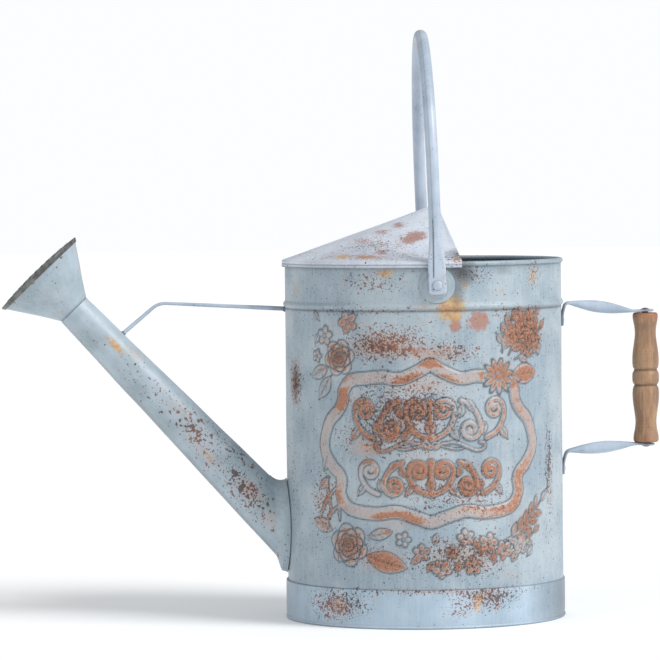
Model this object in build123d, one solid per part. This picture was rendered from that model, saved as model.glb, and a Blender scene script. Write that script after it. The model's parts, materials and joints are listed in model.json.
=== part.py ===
"""A painted sheet-steel watering can: a round body with a half hood, a long spout with a rose, a swinging
bail over the mouth and a turned wooden grip behind. Every piece is written to parts/ as its own STEP file.

Frame: origin at the centre of the base on the standing plane, +Z up, spout towards -X, wooden grip towards
+X, front of the can towards -Y. Millimetres and degrees.
"""

import os
from math import asin, cos, pi, radians, sin, sqrt, tan

from build123d import *

# ---- sheet and body
SHEET = 0.8
BODY_R = 110.2
RIM_Z = 283.6
RIM_ROLL_R = 2.0
BEAD_BELOW_RIM = 33.0
BEAD_HEIGHT = 5.0
BEAD_OUT = 1.6
SEAM_WIDTH = 6.0
SEAM_AZIMUTH = 24.0
SEAM_ABOVE_BAND = 2.0

# ---- foot of the can
BAND_HEIGHT = 31.0
BAND_SHEET = 1.2
BAND_SHOULDER = 1.6
HEM_ROLL_R = 1.5
HEM_PROUD = 0.4
HEM_FLAT = 0.25
HEM_CLEAR = 0.1
PAN_Z = 8.0

# ---- spout and rose
SPOUT_FOOT_Z = 70.9
SPOUT_SLOPE = 46.45
SPOUT_LENGTH = 243.8
SPOUT_NECK_R = 12.9
SPOUT_ROOT_R = 19.9
COLLAR_REACH = 12.0
COLLAR_LIP = 0.8
COLLAR_SIDE_FLARE = 4.6
COLLAR_END_FLARE = 7.6
COLLAR_ABOVE_FOOT = 2.7
ROSE_LENGTH = 40.6
ROSE_FACE_R = 40.8
ROSE_SLEEVE = 10.0
SLEEVE_GAP = 0.05
ROSE_DOME = 2.2
ROSE_LIP = 2.6
HOLE_R = 1.0
HOLE_RINGS = 5
HOLE_MARGIN = 8.8

# ---- brace between spout and body
BRACE_ROD_R = 1.7
BRACE_BELOW_BEAD = 3.9
BRACE_REACH = 101.0
BRACE_RISE = 3.2
BRACE_BELOW_NECK = 39.6
BRACE_BEND_R = 14.0
BRACE_INTO = 6.0
SOLDER_R = 3.6
SOLDER_LENGTH = 3.0
SOLDER_LIP = 0.2
SOLDER_SINK = 1.0

# ---- hood over the spout side of the mouth
HOOD_APEX_X = 9.2
HOOD_APEX_RISE = 43.0
HOOD_FRONT_X = 25.7
HOOD_TIP_R = 2.5
HOOD_SKIRT = 5.0
HOOD_GAP = 0.02

# ---- bail: a rolled tube whose ends are hammered flat
TUBE_R = 4.8
TUBE_WALL = 1.0
TUBE_SEAM_FLAT = 0.4
FLAT_T = 2.0
BAIL_EYE_END = 7.0
BAIL_EYE_CORNER = 3.0
BAIL_PIVOT_X = 6.3
BAIL_RISE = 184.4
BAIL_LEAN = 1.9
BAIL_SIDE_GAP = 2.6
BAIL_FLAT_TOP = 12.0
BAIL_ROUND_FROM = 42.0
EAR_SHEET = 1.0
EAR_GAP = 0.4
EAR_BOSS_R = 9.5
EAR_BOSS_TAPER = 1.5
EAR_BOSS_SINK = 2.0
FACE_GAP = 0.1
RIVET_R = 2.4
RIVET_HEAD_R = 4.0
RIVET_HEAD_H = 2.2
RIVET_TAIL_R = 3.6
RIVET_TAIL_H = 1.8
RUNNING = 0.08
BURR_R = 6.0
BURR_T = 1.4

# ---- rear handle; the grip's turned outline has its stations as shares of half its length
BRACKET_T = 1.8
UPPER_CORNER_BELOW_BEAD = 1.4
LOWER_CORNER_BELOW_GRIP = 6.4
CORNER_OUT = 3.6
ARM_SWELL = 1.2
EYE_SHOULDER = 2.0
TAB_LENGTH = 18.5
TAB_SEAT = 9.0
TAB_RIVET_R = 1.6
TAB_RIVET_HEAD_R = 3.0
TAB_RIVET_HEAD_H = 0.9
TAB_TAIL_GAP = 0.1
GRIP_REACH = 67.5
GRIP_BELOW_CORNER = 8.6
GRIP_LENGTH = 103.8
GRIP_R = 10.7
GRIP_WAIST_R = 8.5
GRIP_GROOVE_R = 9.3
GRIP_LIP = 0.3
GRIP_BEAD_PROUD = 0.1
GRIP_END_LESS = (0.9, 0.5, 2.2)
GRIP_MIDDLE_STATIONS = (0.105, 0.13, 0.16, 0.28, 0.49)
GRIP_END_STATIONS = (0.69, 0.87, 0.94, 0.98)
GRIP_GAP = 0.3
ROD_R = 2.5
ROD_HEAD_R = 4.2
ROD_HEAD_H = 1.7

# ---- construction
CUT_PAST = 5.0
ARC_MIDDLE = sin(pi / 4)

# ---- sizes that follow from the ones above
INNER_R = BODY_R - SHEET
RIM_R = BODY_R - SHEET / 2
BEAD_Z = RIM_Z - BEAD_BELOW_RIM
RIM_WIRE_R = RIM_ROLL_R - SHEET
HEM_R = BODY_R + BAND_SHEET + HEM_PROUD - HEM_ROLL_R
HEM_Z = HEM_ROLL_R - HEM_FLAT
HEM_WIRE_R = HEM_ROLL_R - SHEET
SHELL_BOTTOM = HEM_Z + HEM_ROLL_R + HEM_CLEAR
HOOD_Z = RIM_Z + RIM_ROLL_R + HOOD_GAP
SKIRT_INNER_R = RIM_R + RIM_ROLL_R + HOOD_GAP
HOOD_R = SKIRT_INNER_R + SHEET
BEAD_TOP = BEAD_Z + BEAD_HEIGHT / 2
PIVOT_Z = (BEAD_TOP + RIM_Z - RIM_ROLL_R) / 2
EAR_R = (RIM_Z - RIM_ROLL_R - BEAD_TOP) / 2 - EAR_GAP
BAIL_HALF_SPAN = HOOD_R + BAIL_SIDE_GAP
FOOT_INNER_Y = BAIL_HALF_SPAN - FLAT_T / 2
FOOT_OUTER_Y = BAIL_HALF_SPAN + FLAT_T / 2
BAIL_TOP_Z = RIM_Z + BAIL_RISE
HOLE_RING_STEP = (ROSE_FACE_R - HOLE_MARGIN) / HOLE_RINGS
GRIP_X = BODY_R + GRIP_REACH
UPPER_CORNER_Z = BEAD_Z - UPPER_CORNER_BELOW_BEAD
GRIP_TOP_Z = UPPER_CORNER_Z - GRIP_BELOW_CORNER
GRIP_BOTTOM_Z = GRIP_TOP_Z - GRIP_LENGTH
LOWER_CORNER_Z = GRIP_BOTTOM_Z - LOWER_CORNER_BELOW_GRIP


def flat_width(thickness):
    """Width of the tube where it is hammered down to a thickness: its outline keeps the same length."""
    return thickness + pi * (TUBE_R - thickness / 2)


def tube_section(thickness):
    """Outline of the tube at one station, wide along its local X; its seam leaves a narrow flat."""
    return SlotOverall(flat_width(thickness) + TUBE_SEAM_FLAT, thickness)


def spun(outline):
    """Solid of revolution about Z from a closed outline drawn as (radius, height)."""
    return revolve(Plane.XZ * make_face(outline), Axis.Z)


def ring(inner, outer, low, high):
    """A plain tube about Z."""
    middle = Pos(0, 0, (low + high) / 2)
    return middle * (Cylinder(outer, high - low) - Cylinder(inner, high - low))


def dome(radius, height):
    """A spherical cap on the XY plane, rising to its height on the axis."""
    ball = (radius**2 + height**2) / (2 * height)
    half = asin(radius / ball) / 2
    crown = ThreePointArc((radius, 0), (ball * sin(half), height - ball + ball * cos(half)), (0, height))
    return spun([Line((0, 0), (radius, 0)), crown, Line((0, height), (0, 0))])


def stub(radius, low, high):
    """A cylinder on the local Z axis between two heights."""
    return Pos(0, 0, (low + high) / 2) * Cylinder(radius, high - low)


def both_sides(solid):
    """The piece at the front of the can and its twin at the back."""
    return Compound(children=[solid, mirror(solid, Plane.XZ)])


# ------------------------------------------------------------------------------------------- spout geometry
SLOPE = radians(SPOUT_SLOPE)
SPOUT_DOWN = Vector(cos(SLOPE), 0, -sin(SLOPE))
SPOUT_FOOT = Vector(-BODY_R, 0, SPOUT_FOOT_Z)
SPOUT_NECK = SPOUT_FOOT - SPOUT_DOWN * SPOUT_LENGTH
SPOUT_TAPER = (SPOUT_ROOT_R - SPOUT_NECK_R) / SPOUT_LENGTH
SPOUT_FRAME = Plane(origin=SPOUT_NECK, x_dir=(0, 1, 0), z_dir=SPOUT_DOWN)
ROSE_FRAME = Plane(origin=SPOUT_NECK, x_dir=(0, 1, 0), z_dir=-SPOUT_DOWN)


def spout_radius(distance):
    """Outer radius of the spout at a distance from its neck."""
    return SPOUT_NECK_R + SPOUT_TAPER * distance


def spout_cone(shrink=0.0):
    """The spout's solid cone, run on past the body wall."""
    length = SPOUT_LENGTH + 1.5 * SPOUT_ROOT_R
    base = (Align.CENTER, Align.CENTER, Align.MIN)
    cone = Cone(SPOUT_NECK_R - shrink, spout_radius(length) - shrink, length, align=base)
    return SPOUT_FRAME.location * cone


# -------------------------------------------------------------------------------------------- body and foot
def body_outline(radius):
    """The body's line from the foot to the rim roll, with the swaged bead."""
    low, high = BEAD_Z - BEAD_HEIGHT / 2, BEAD_TOP
    top = RIM_Z - (RIM_ROLL_R + RIM_WIRE_R) / 2
    bead = ThreePointArc((radius, low), (radius + BEAD_OUT, BEAD_Z), (radius, high))
    return [Line((radius, SHELL_BOTTOM), (radius, low)), bead, Line((radius, high), (radius, top))]


def filled_body():
    """The can's outside as one solid, for trimming what is joined to it."""
    top = RIM_Z - (RIM_ROLL_R + RIM_WIRE_R) / 2
    ends = [
        Line((BODY_R, top), (0, top)),
        Line((0, top), (0, SHELL_BOTTOM)),
        Line((0, SHELL_BOTTOM), (BODY_R, SHELL_BOTTOM)),
    ]
    return spun(body_outline(BODY_R) + ends)


def rolled_edge(radius, height, roll, wire):
    """A hollow roll of sheet round a wire."""
    return revolve(Plane.XZ * Pos(radius, height) * (Circle(roll) - Circle(wire)), Axis.Z)


def body_shell():
    top = RIM_Z - (RIM_ROLL_R + RIM_WIRE_R) / 2
    outline = body_outline(BODY_R) + body_outline(INNER_R)
    outline += [
        Line((BODY_R, top), (INNER_R, top)),
        Line((BODY_R, SHELL_BOTTOM), (INNER_R, SHELL_BOTTOM)),
    ]
    shell = spun(outline) + rolled_edge(RIM_R, RIM_Z, RIM_ROLL_R, RIM_WIRE_R)
    seam_angle = 360 * SEAM_WIDTH / (2 * pi * INNER_R)
    seam_low, seam_high = BAND_HEIGHT + SEAM_ABOVE_BAND, BEAD_Z - BEAD_HEIGHT
    lap = Pos(INNER_R - SHEET / 4, (seam_low + seam_high) / 2) * Rectangle(1.5 * SHEET, seam_high - seam_low)
    shell += Rot(0, 0, SEAM_AZIMUTH) * revolve(Plane.XZ * lap, Axis.Z, revolution_arc=seam_angle)
    shell -= spout_cone(SHEET)
    shell -= both_sides(BAIL_AXIS.location * stub(RIVET_R, INNER_R - CUT_PAST, BODY_R + CUT_PAST))
    for corner_z in (UPPER_CORNER_Z, LOWER_CORNER_Z):
        shell -= tab_axis(corner_z).location * stub(TAB_RIVET_R, INNER_R - CUT_PAST, BODY_R + CUT_PAST)
    return shell


def rim_wire():
    return Pos(0, 0, RIM_Z) * Torus(RIM_R, RIM_WIRE_R)


def base_band():
    outline = [
        Line((BODY_R, HEM_Z), (BODY_R, BAND_HEIGHT)),
        ThreePointArc(
            (BODY_R, BAND_HEIGHT),
            (BODY_R + ARC_MIDDLE * BAND_SHEET, BAND_HEIGHT - (1 - ARC_MIDDLE) * BAND_SHOULDER),
            (BODY_R + BAND_SHEET, BAND_HEIGHT - BAND_SHOULDER),
        ),
        Line((BODY_R + BAND_SHEET, BAND_HEIGHT - BAND_SHOULDER), (BODY_R + BAND_SHEET, HEM_Z)),
        Line((BODY_R + BAND_SHEET, HEM_Z), (BODY_R, HEM_Z)),
    ]
    core = Pos(0, 0, HEM_Z) * Torus(HEM_R, HEM_WIRE_R)
    roll = Pos(0, 0, HEM_Z) * Torus(HEM_R, HEM_ROLL_R)
    return spun(outline) + roll - core - stub(2 * BODY_R, -CUT_PAST, 0)


def base_wire():
    return Pos(0, 0, HEM_Z) * Torus(HEM_R, HEM_WIRE_R)


def bottom_pan():
    flange = INNER_R - SHEET
    return spun(
        Polyline(
            (0, PAN_Z),
            (flange, PAN_Z),
            (flange, SHELL_BOTTOM),
            (INNER_R, SHELL_BOTTOM),
            (INNER_R, PAN_Z + SHEET),
            (0, PAN_Z + SHEET),
            close=True,
        )
    )


# ------------------------------------------------------------------------------------------- spout and rose
def spout_tube():
    return spout_cone() - spout_cone(SHEET) - filled_body()


def collar_section(x, z, half_width, half_height):
    return Plane(origin=(x, 0, z), x_dir=(0, 1, 0), z_dir=(1, 0, 0)) * Ellipse(half_width, half_height)


def spout_collar():
    """The flared boot that is soldered round the spout's root."""
    root = spout_radius(SPOUT_LENGTH - COLLAR_REACH / cos(SLOPE)) + COLLAR_LIP
    outer_z = SPOUT_FOOT_Z + COLLAR_REACH * tan(SLOPE)
    small = collar_section(-BODY_R - COLLAR_REACH, outer_z, root, root / cos(SLOPE))
    into = COLLAR_REACH / 2
    half_width = SPOUT_ROOT_R + COLLAR_SIDE_FLARE
    half_height = SPOUT_ROOT_R / cos(SLOPE) + COLLAR_END_FLARE
    grow = (half_width - root) / COLLAR_REACH * into
    foot_z = SPOUT_FOOT_Z + COLLAR_ABOVE_FOOT
    large = collar_section(-BODY_R + into, foot_z, half_width + grow, half_height + grow)
    return loft([small, large], ruled=True) - spout_cone() - filled_body()


ROSE_CONE_R = ROSE_FACE_R - SHEET
ROSE_ROOT_R = SPOUT_NECK_R + SHEET / 2
ROSE_SLOPE = (ROSE_CONE_R - ROSE_ROOT_R) / ROSE_LENGTH


def rose_cone():
    """Cone with a short sleeve that fits inside the spout's end."""
    sleeve = SPOUT_NECK_R - SHEET - SLEEVE_GAP
    wall = SHEET * sqrt(1 + ROSE_SLOPE**2)
    profile = spun(
        Polyline(
            (sleeve - SHEET, -ROSE_SLEEVE),
            (sleeve, -ROSE_SLEEVE),
            (sleeve, 0),
            (ROSE_ROOT_R, 0),
            (ROSE_CONE_R, ROSE_LENGTH),
            (ROSE_CONE_R - wall, ROSE_LENGTH),
            (sleeve - SHEET, 0),
            close=True,
        )
    )
    return ROSE_FRAME.location * profile


def rose_face():
    """Domed plate with rings of holes, its edge folded back over the cone."""
    back = ROSE_LENGTH - ROSE_LIP
    pinch = ROSE_LIP * ROSE_SLOPE
    crown, under = ROSE_LENGTH + SHEET + ROSE_DOME, ROSE_LENGTH + ROSE_DOME
    half = ROSE_CONE_R / 2
    outline = [
        ThreePointArc((0, crown), (half, crown - ROSE_DOME / 4), (ROSE_CONE_R, ROSE_LENGTH + SHEET)),
        ThreePointArc(
            (ROSE_CONE_R, ROSE_LENGTH + SHEET),
            (ROSE_CONE_R + ARC_MIDDLE * SHEET, ROSE_LENGTH + ARC_MIDDLE * SHEET),
            (ROSE_FACE_R, ROSE_LENGTH),
        ),
        Line((ROSE_FACE_R, ROSE_LENGTH), (ROSE_FACE_R - pinch, back)),
        Line((ROSE_FACE_R - pinch, back), (ROSE_CONE_R - pinch, back)),
        Line((ROSE_CONE_R - pinch, back), (ROSE_CONE_R, ROSE_LENGTH)),
        ThreePointArc((ROSE_CONE_R, ROSE_LENGTH), (half, under - ROSE_DOME / 4), (0, under)),
        Line((0, under), (0, crown)),
    ]
    hole = stub(HOLE_R, back, crown + CUT_PAST)
    holes = [hole]
    for number in range(1, HOLE_RINGS + 1):
        for place in PolarLocations(number * HOLE_RING_STEP, 6 * number):
            holes.append(place * hole)
    return ROSE_FRAME.location * (spun(outline) - holes)


# ------------------------------------------------------------------------------------------------ the brace
BRACE_Z = BEAD_Z - BRACE_BELOW_BEAD
BRACE_BEND = Vector(-BODY_R - BRACE_REACH, 0, BRACE_Z + BRACE_REACH * tan(radians(BRACE_RISE)))
BRACE_ON_SPOUT = SPOUT_NECK + SPOUT_DOWN * BRACE_BELOW_NECK
BRACE_DOWN = (BRACE_ON_SPOUT - BRACE_BEND).normalized()
BRACE_ANGLE = radians(BRACE_DOWN.get_angle(SPOUT_DOWN))


def brace_rod():
    inside = Vector(-BODY_R + BRACE_INTO, 0, BRACE_Z - BRACE_INTO * tan(radians(BRACE_RISE)))
    path = FilletPolyline(BRACE_ON_SPOUT, BRACE_BEND, inside, radius=BRACE_BEND_R)
    start = Plane(origin=BRACE_ON_SPOUT, z_dir=-BRACE_DOWN)
    return sweep(start * Circle(BRACE_ROD_R), path=path)


def spout_brace():
    return brace_rod() - spout_cone() - filled_body()


def brace_solder():
    """A fillet of solder at each end of the brace."""
    crossing = spout_radius(BRACE_BELOW_NECK) / sin(BRACE_ANGLE)
    base = (Align.CENTER, Align.CENTER, Align.MIN)
    fillet_cone = Cone(SOLDER_R, BRACE_ROD_R + SOLDER_LIP, SOLDER_LENGTH + SOLDER_SINK, align=base)
    low = Plane(origin=BRACE_ON_SPOUT - BRACE_DOWN * (crossing - SOLDER_SINK), z_dir=-BRACE_DOWN)
    high = Plane(origin=(-BODY_R + SOLDER_SINK, 0, BRACE_Z), z_dir=(-1, 0, 0))
    pieces = [low.location * fillet_cone, high.location * fillet_cone]
    cutters = [brace_rod(), spout_cone(), filled_body()]
    return Compound(children=[(piece - cutters).solids().sort_by(SortBy.VOLUME)[-1] for piece in pieces])


# ------------------------------------------------------------------------------------------------- the hood
def hood_cone(drop=0.0):
    """Slanting solid cone from the rim to the apex, cut off just short of its point."""
    share = 1 - HOOD_TIP_R / HOOD_R
    foot = Pos(0, 0, HOOD_Z - drop) * Circle(HOOD_R)
    tip = Pos(HOOD_APEX_X * share, 0, HOOD_Z + HOOD_APEX_RISE * share - drop) * Circle(HOOD_TIP_R)
    return loft([foot, tip], ruled=True)


def hood():
    """Half cone of sheet with a skirt that hooks over the rim, open towards the grip."""
    slope = HOOD_APEX_RISE / HOOD_R
    sheet = hood_cone() - hood_cone(SHEET * sqrt(1 + slope**2))
    sheet += ring(SKIRT_INNER_R, HOOD_R, HOOD_Z - HOOD_SKIRT, HOOD_Z)
    mouth = Plane(
        origin=(HOOD_APEX_X + HOOD_TIP_R, 0, HOOD_Z + HOOD_APEX_RISE),
        x_dir=(0, 1, 0),
        z_dir=(HOOD_APEX_RISE, 0, HOOD_FRONT_X - HOOD_APEX_X - HOOD_TIP_R),
    )
    return split(sheet, bisect_by=mouth, keep=Keep.BOTTOM)


# ------------------------------------------------------------------------------------------------- the bail
BAIL_AXIS = Plane(origin=(BAIL_PIVOT_X, 0, PIVOT_Z), x_dir=(1, 0, 0), z_dir=(0, -1, 0))
BAIL_POSE = Pos(BAIL_PIVOT_X, 0, PIVOT_Z) * Rot(0, -BAIL_LEAN, 0)


def bail_foot():
    """One hammered end, at the front: a flat eye on the rivet that swells into the round tube."""
    stations = 6
    sections = []
    for step in range(stations):
        share = step / (stations - 1)
        swell = share * share * (3 - 2 * share)
        thickness = FLAT_T + (2 * TUBE_R - FLAT_T) * swell
        height = BAIL_FLAT_TOP + (BAIL_ROUND_FROM - BAIL_FLAT_TOP) * share
        sections.append(Pos(0, -BAIL_HALF_SPAN, height) * tube_section(thickness))
    width = flat_width(FLAT_T)
    eye = Pos(0, BAIL_FLAT_TOP / 2) * Rectangle(width, BAIL_FLAT_TOP)
    eye += RectangleRounded(width, 2 * BAIL_EYE_END, BAIL_EYE_CORNER)
    face = Plane(origin=(0, -FOOT_INNER_Y, 0), x_dir=(1, 0, 0), z_dir=(0, -1, 0))
    plate = extrude(face * eye, FLAT_T)
    hole = Plane.XZ.location * stub(RIVET_R + RUNNING, FOOT_INNER_Y - 1, FOOT_OUTER_Y + 1)
    return loft(sections) + plate - hole


def bail():
    reach = (BAIL_TOP_Z - TUBE_R - PIVOT_Z) / cos(radians(BAIL_LEAN))
    shoulder = reach - BAIL_HALF_SPAN
    span = BAIL_HALF_SPAN
    path = Plane.YZ * Wire(
        [
            Line((-span, BAIL_ROUND_FROM), (-span, shoulder)),
            ThreePointArc((-span, shoulder), (0, reach), (span, shoulder)),
            Line((span, shoulder), (span, BAIL_ROUND_FROM)),
        ]
    )
    start = Pos(0, -span, BAIL_ROUND_FROM)
    arch = sweep(start * tube_section(2 * TUBE_R), path=path)
    bore = 2 * (TUBE_R - TUBE_WALL)
    arch -= sweep(start * SlotOverall(bore + TUBE_SEAM_FLAT, bore), path=path)
    foot = bail_foot()
    return BAIL_POSE * (arch + foot + mirror(foot, Plane.XZ))


def bail_ears():
    """Reinforcing plates on the body with a raised boss that stands the bail clear of the rim."""
    disc = BAIL_AXIS.location * stub(EAR_R, BODY_R / 2, 2 * BODY_R)
    plate = disc & ring(BODY_R, BODY_R + EAR_SHEET, BEAD_Z, RIM_Z)
    plate = plate.solids().sort_by(Axis.Y)[0]
    face = FOOT_INNER_Y - FACE_GAP
    boss = Cone(
        EAR_BOSS_R + EAR_BOSS_TAPER,
        EAR_BOSS_R,
        face - BODY_R + EAR_BOSS_SINK,
        align=(Align.CENTER, Align.CENTER, Align.MAX),
    )
    plate += BAIL_AXIS.location * Pos(0, 0, face) * boss - Pos(0, 0, PIVOT_Z) * Cylinder(BODY_R, 4 * EAR_R)
    return both_sides(plate - BAIL_AXIS.location * stub(RIVET_R, BODY_R - CUT_PAST, face + CUT_PAST))


def bail_rivets():
    under_head = FOOT_OUTER_Y + FACE_GAP
    tail = INNER_R - BURR_T
    rivet = stub(RIVET_R, tail, under_head)
    rivet += Pos(0, 0, under_head) * dome(RIVET_HEAD_R, RIVET_HEAD_H)
    rivet += Pos(0, 0, tail) * Rot(180, 0, 0) * dome(RIVET_TAIL_R, RIVET_TAIL_H)
    return both_sides(BAIL_AXIS.location * rivet)


def bail_burrs():
    """Washers inside the can, under the hammered tails of the rivets."""
    blank = stub(BURR_R, INNER_R - BURR_T, BODY_R) - stub(RIVET_R, INNER_R - CUT_PAST, BODY_R + CUT_PAST)
    washer = BAIL_AXIS.location * blank
    return both_sides(washer & Pos(0, 0, PIVOT_Z) * Cylinder(INNER_R, 4 * BURR_R))


# ----------------------------------------------------------------------------------------- the rear handle
def tab_axis(corner_z):
    """Axis of the rivet in a bracket's tab, pointing out of the body."""
    rivet_z = corner_z - TAB_LENGTH + TAB_SEAT / 2
    return Plane(origin=(0, 0, rivet_z), x_dir=(0, 1, 0), z_dir=(1, 0, 0))


def bracket(corner_z, end_z):
    """Rolled tube hammered flat at both ends: one end is bent down the body, the other carries the rod."""
    width = flat_width(BRACKET_T)
    corner = Vector(BODY_R + CORNER_OUT, 0, corner_z)
    shoulder = width / 2 + EYE_SHOULDER
    end = Vector(GRIP_X - shoulder, 0, end_z)
    line = end - corner
    sections = []
    stations = 7
    for step in range(stations):
        share = step / (stations - 1)
        thickness = BRACKET_T + (2 * TUBE_R - BRACKET_T) * sin(pi * share) ** ARM_SWELL
        place = Plane(origin=corner + line * share, x_dir=(0, 1, 0), z_dir=line)
        sections.append(place * tube_section(thickness))
    arm = loft(sections)
    plan = Circle(width / 2) + Pos(-shoulder / 2, 0) * Rectangle(shoulder, width)
    arm += extrude(Plane(origin=(GRIP_X, 0, end_z - BRACKET_T / 2)) * plan, BRACKET_T)
    seat_x = BODY_R + BRACKET_T / 2
    seat = Vector(seat_x, 0, corner_z - TAB_LENGTH + TAB_SEAT)
    arm += strip(corner, seat, width) + strip(seat, Vector(seat_x, 0, corner_z - TAB_LENGTH), width)
    arm -= Pos(GRIP_X, 0, end_z) * Cylinder(ROD_R, 4 * BRACKET_T)
    arm -= tab_axis(corner_z).location * stub(TAB_RIVET_R, BODY_R - CUT_PAST, BODY_R + CUT_PAST)
    return arm - filled_body()


def strip(start, finish, width):
    """A flat strip between two points in the XZ plane, with rounded ends seen from the side."""
    run = finish - start
    side = SlotCenterToCenter(run.length, BRACKET_T)
    place = Plane(origin=(start + finish) / 2, x_dir=run, z_dir=(0, 1, 0))
    return extrude(place * side, width / 2, both=True)


def bracket_rivets():
    rivets = []
    for corner_z in (UPPER_CORNER_Z, LOWER_CORNER_Z):
        rivet = stub(TAB_RIVET_R, INNER_R - TAB_TAIL_GAP, BODY_R + BRACKET_T)
        rivet += Pos(0, 0, BODY_R + BRACKET_T) * dome(TAB_RIVET_HEAD_R, TAB_RIVET_HEAD_H)
        rivet += Pos(0, 0, INNER_R - TAB_TAIL_GAP) * Rot(180, 0, 0) * dome(TAB_RIVET_HEAD_R, TAB_RIVET_HEAD_H)
        rivets.append(tab_axis(corner_z).location * rivet)
    return Compound(children=rivets)


def grip():
    """Turned hardwood barrel: two coves, two bellies and a bead between grooves at its middle."""
    half = GRIP_LENGTH / 2
    bead, groove, lip, belly, slope = (share * half for share in GRIP_MIDDLE_STATIONS)
    waist, neck, crown, corner = (share * half for share in GRIP_END_STATIONS)
    neck_r, crown_r, end_r = (GRIP_R - less for less in GRIP_END_LESS)
    bore = ROD_R + RUNNING
    shapes = []
    for side in (1, -1):
        profile = Spline(
            (GRIP_GROOVE_R, side * groove),
            (GRIP_R - GRIP_LIP, side * lip),
            (GRIP_R, side * belly),
            ((GRIP_R + GRIP_WAIST_R) / 2, side * slope),
            (GRIP_WAIST_R, side * waist),
            (neck_r, side * neck),
            (crown_r, side * crown),
        )
        end_round = ThreePointArc((crown_r, side * crown), (neck_r, side * corner), (end_r, side * half))
        groove_floor = Line((GRIP_GROOVE_R, side * groove), (GRIP_GROOVE_R, side * bead))
        shapes += [profile, end_round, groove_floor, Line((end_r, side * half), (bore, side * half))]
    shapes.append(ThreePointArc((GRIP_GROOVE_R, bead), (GRIP_R + GRIP_BEAD_PROUD, 0), (GRIP_GROOVE_R, -bead)))
    shapes.append(Line((bore, half), (bore, -half)))
    return Pos(GRIP_X, 0, GRIP_BOTTOM_Z + half) * spun(shapes)


def grip_rod():
    low = GRIP_BOTTOM_Z - GRIP_GAP - BRACKET_T
    high = GRIP_TOP_Z + GRIP_GAP + BRACKET_T
    rod = stub(ROD_R, low, high)
    rod += Pos(0, 0, high) * dome(ROD_HEAD_R, ROD_HEAD_H)
    rod += Pos(0, 0, low) * Rot(180, 0, 0) * dome(ROD_HEAD_R, ROD_HEAD_H)
    return Pos(GRIP_X, 0, 0) * rod


def upper_bracket():
    return bracket(UPPER_CORNER_Z, GRIP_TOP_Z + GRIP_GAP + BRACKET_T / 2)


def lower_bracket():
    return bracket(LOWER_CORNER_Z, GRIP_BOTTOM_Z - GRIP_GAP - BRACKET_T / 2)


PIECES = [
    body_shell,
    rim_wire,
    base_band,
    base_wire,
    bottom_pan,
    spout_tube,
    spout_collar,
    rose_cone,
    rose_face,
    spout_brace,
    brace_solder,
    hood,
    bail,
    bail_ears,
    bail_rivets,
    bail_burrs,
    upper_bracket,
    lower_bracket,
    bracket_rivets,
    grip,
    grip_rod,
]

os.makedirs("parts", exist_ok=True)
for piece in PIECES:
    export_step(piece(), f"parts/{piece.__name__}.step")
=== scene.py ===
# %% [markdown]
# # A painted sheet-steel watering can
# The can was designed as a set of separate pieces, and that design is the fixed frame here. Blender adds
# the looks around it: embossed ornament, rolled and hammered edges, brushed paint that has worn through
# to brown primer, turned wood and bare metal. Everything is in metres, with +Z up, the spout towards -X
# and the wooden grip towards +X.

# %% load the frame
import json
from math import acos, atan2, ceil, cos, degrees, pi, radians, sin, sqrt, tan

import bmesh
import bpy
import numpy as np
from mathutils import Matrix, Vector

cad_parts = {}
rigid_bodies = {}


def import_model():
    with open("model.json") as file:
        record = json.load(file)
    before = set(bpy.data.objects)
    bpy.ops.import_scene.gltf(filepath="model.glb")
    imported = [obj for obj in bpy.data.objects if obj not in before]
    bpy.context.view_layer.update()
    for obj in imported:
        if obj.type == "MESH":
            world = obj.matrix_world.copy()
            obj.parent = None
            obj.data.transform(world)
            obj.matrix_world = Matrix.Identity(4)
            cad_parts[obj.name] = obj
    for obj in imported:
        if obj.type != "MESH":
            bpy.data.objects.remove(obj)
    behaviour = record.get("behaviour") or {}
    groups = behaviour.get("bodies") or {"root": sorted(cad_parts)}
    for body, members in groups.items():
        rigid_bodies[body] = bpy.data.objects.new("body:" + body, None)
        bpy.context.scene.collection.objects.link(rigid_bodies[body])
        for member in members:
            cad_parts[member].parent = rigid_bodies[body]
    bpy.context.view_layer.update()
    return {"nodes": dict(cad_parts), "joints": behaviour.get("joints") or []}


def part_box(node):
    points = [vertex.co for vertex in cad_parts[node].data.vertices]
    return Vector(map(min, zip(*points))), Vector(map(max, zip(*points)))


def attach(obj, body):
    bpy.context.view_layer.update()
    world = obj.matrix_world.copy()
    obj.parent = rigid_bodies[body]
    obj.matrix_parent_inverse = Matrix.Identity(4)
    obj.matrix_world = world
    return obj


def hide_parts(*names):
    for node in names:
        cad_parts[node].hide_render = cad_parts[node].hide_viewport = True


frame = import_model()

MM = 0.001

# %% [markdown]
# ## Driving sizes
# A few sizes of the real can drive everything below. What can be measured on the frame is read from it, so
# the looks stay on the design when a size changes there.

# %% sizes
SHEET = 0.8 * MM
BODY_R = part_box("bottom_pan")[1].x + SHEET
RIM_WIRE_Z = (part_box("rim_wire")[0].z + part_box("rim_wire")[1].z) / 2
RIM_R = BODY_R - SHEET / 2
ROLL_R = 2.0 * MM
BEAD_Z = RIM_WIRE_Z - 33.0 * MM
BEAD_HEIGHT = 5.0 * MM
BEAD_OUT = 1.6 * MM
SHELL_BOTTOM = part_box("body_shell")[0].z
BAND_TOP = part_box("base_band")[1].z
HOOD_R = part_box("hood")[1].y
SKIRT_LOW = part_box("hood")[0].z
HOOD_Z = SKIRT_LOW + 5.0 * MM
PIVOT = Vector(next(j["pos_m"] for j in frame["joints"] if j["name"] == "bail_swing"))
GRIP_AXIS = Vector(next(j["pos_m"] for j in frame["joints"] if j["name"] == "grip_spin"))
TUBE_R = 4.8 * MM
SEAT_ANGLE = radians(46.45)
SPOUT_DOWN = Vector((cos(SEAT_ANGLE), 0, -sin(SEAT_ANGLE)))
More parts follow.
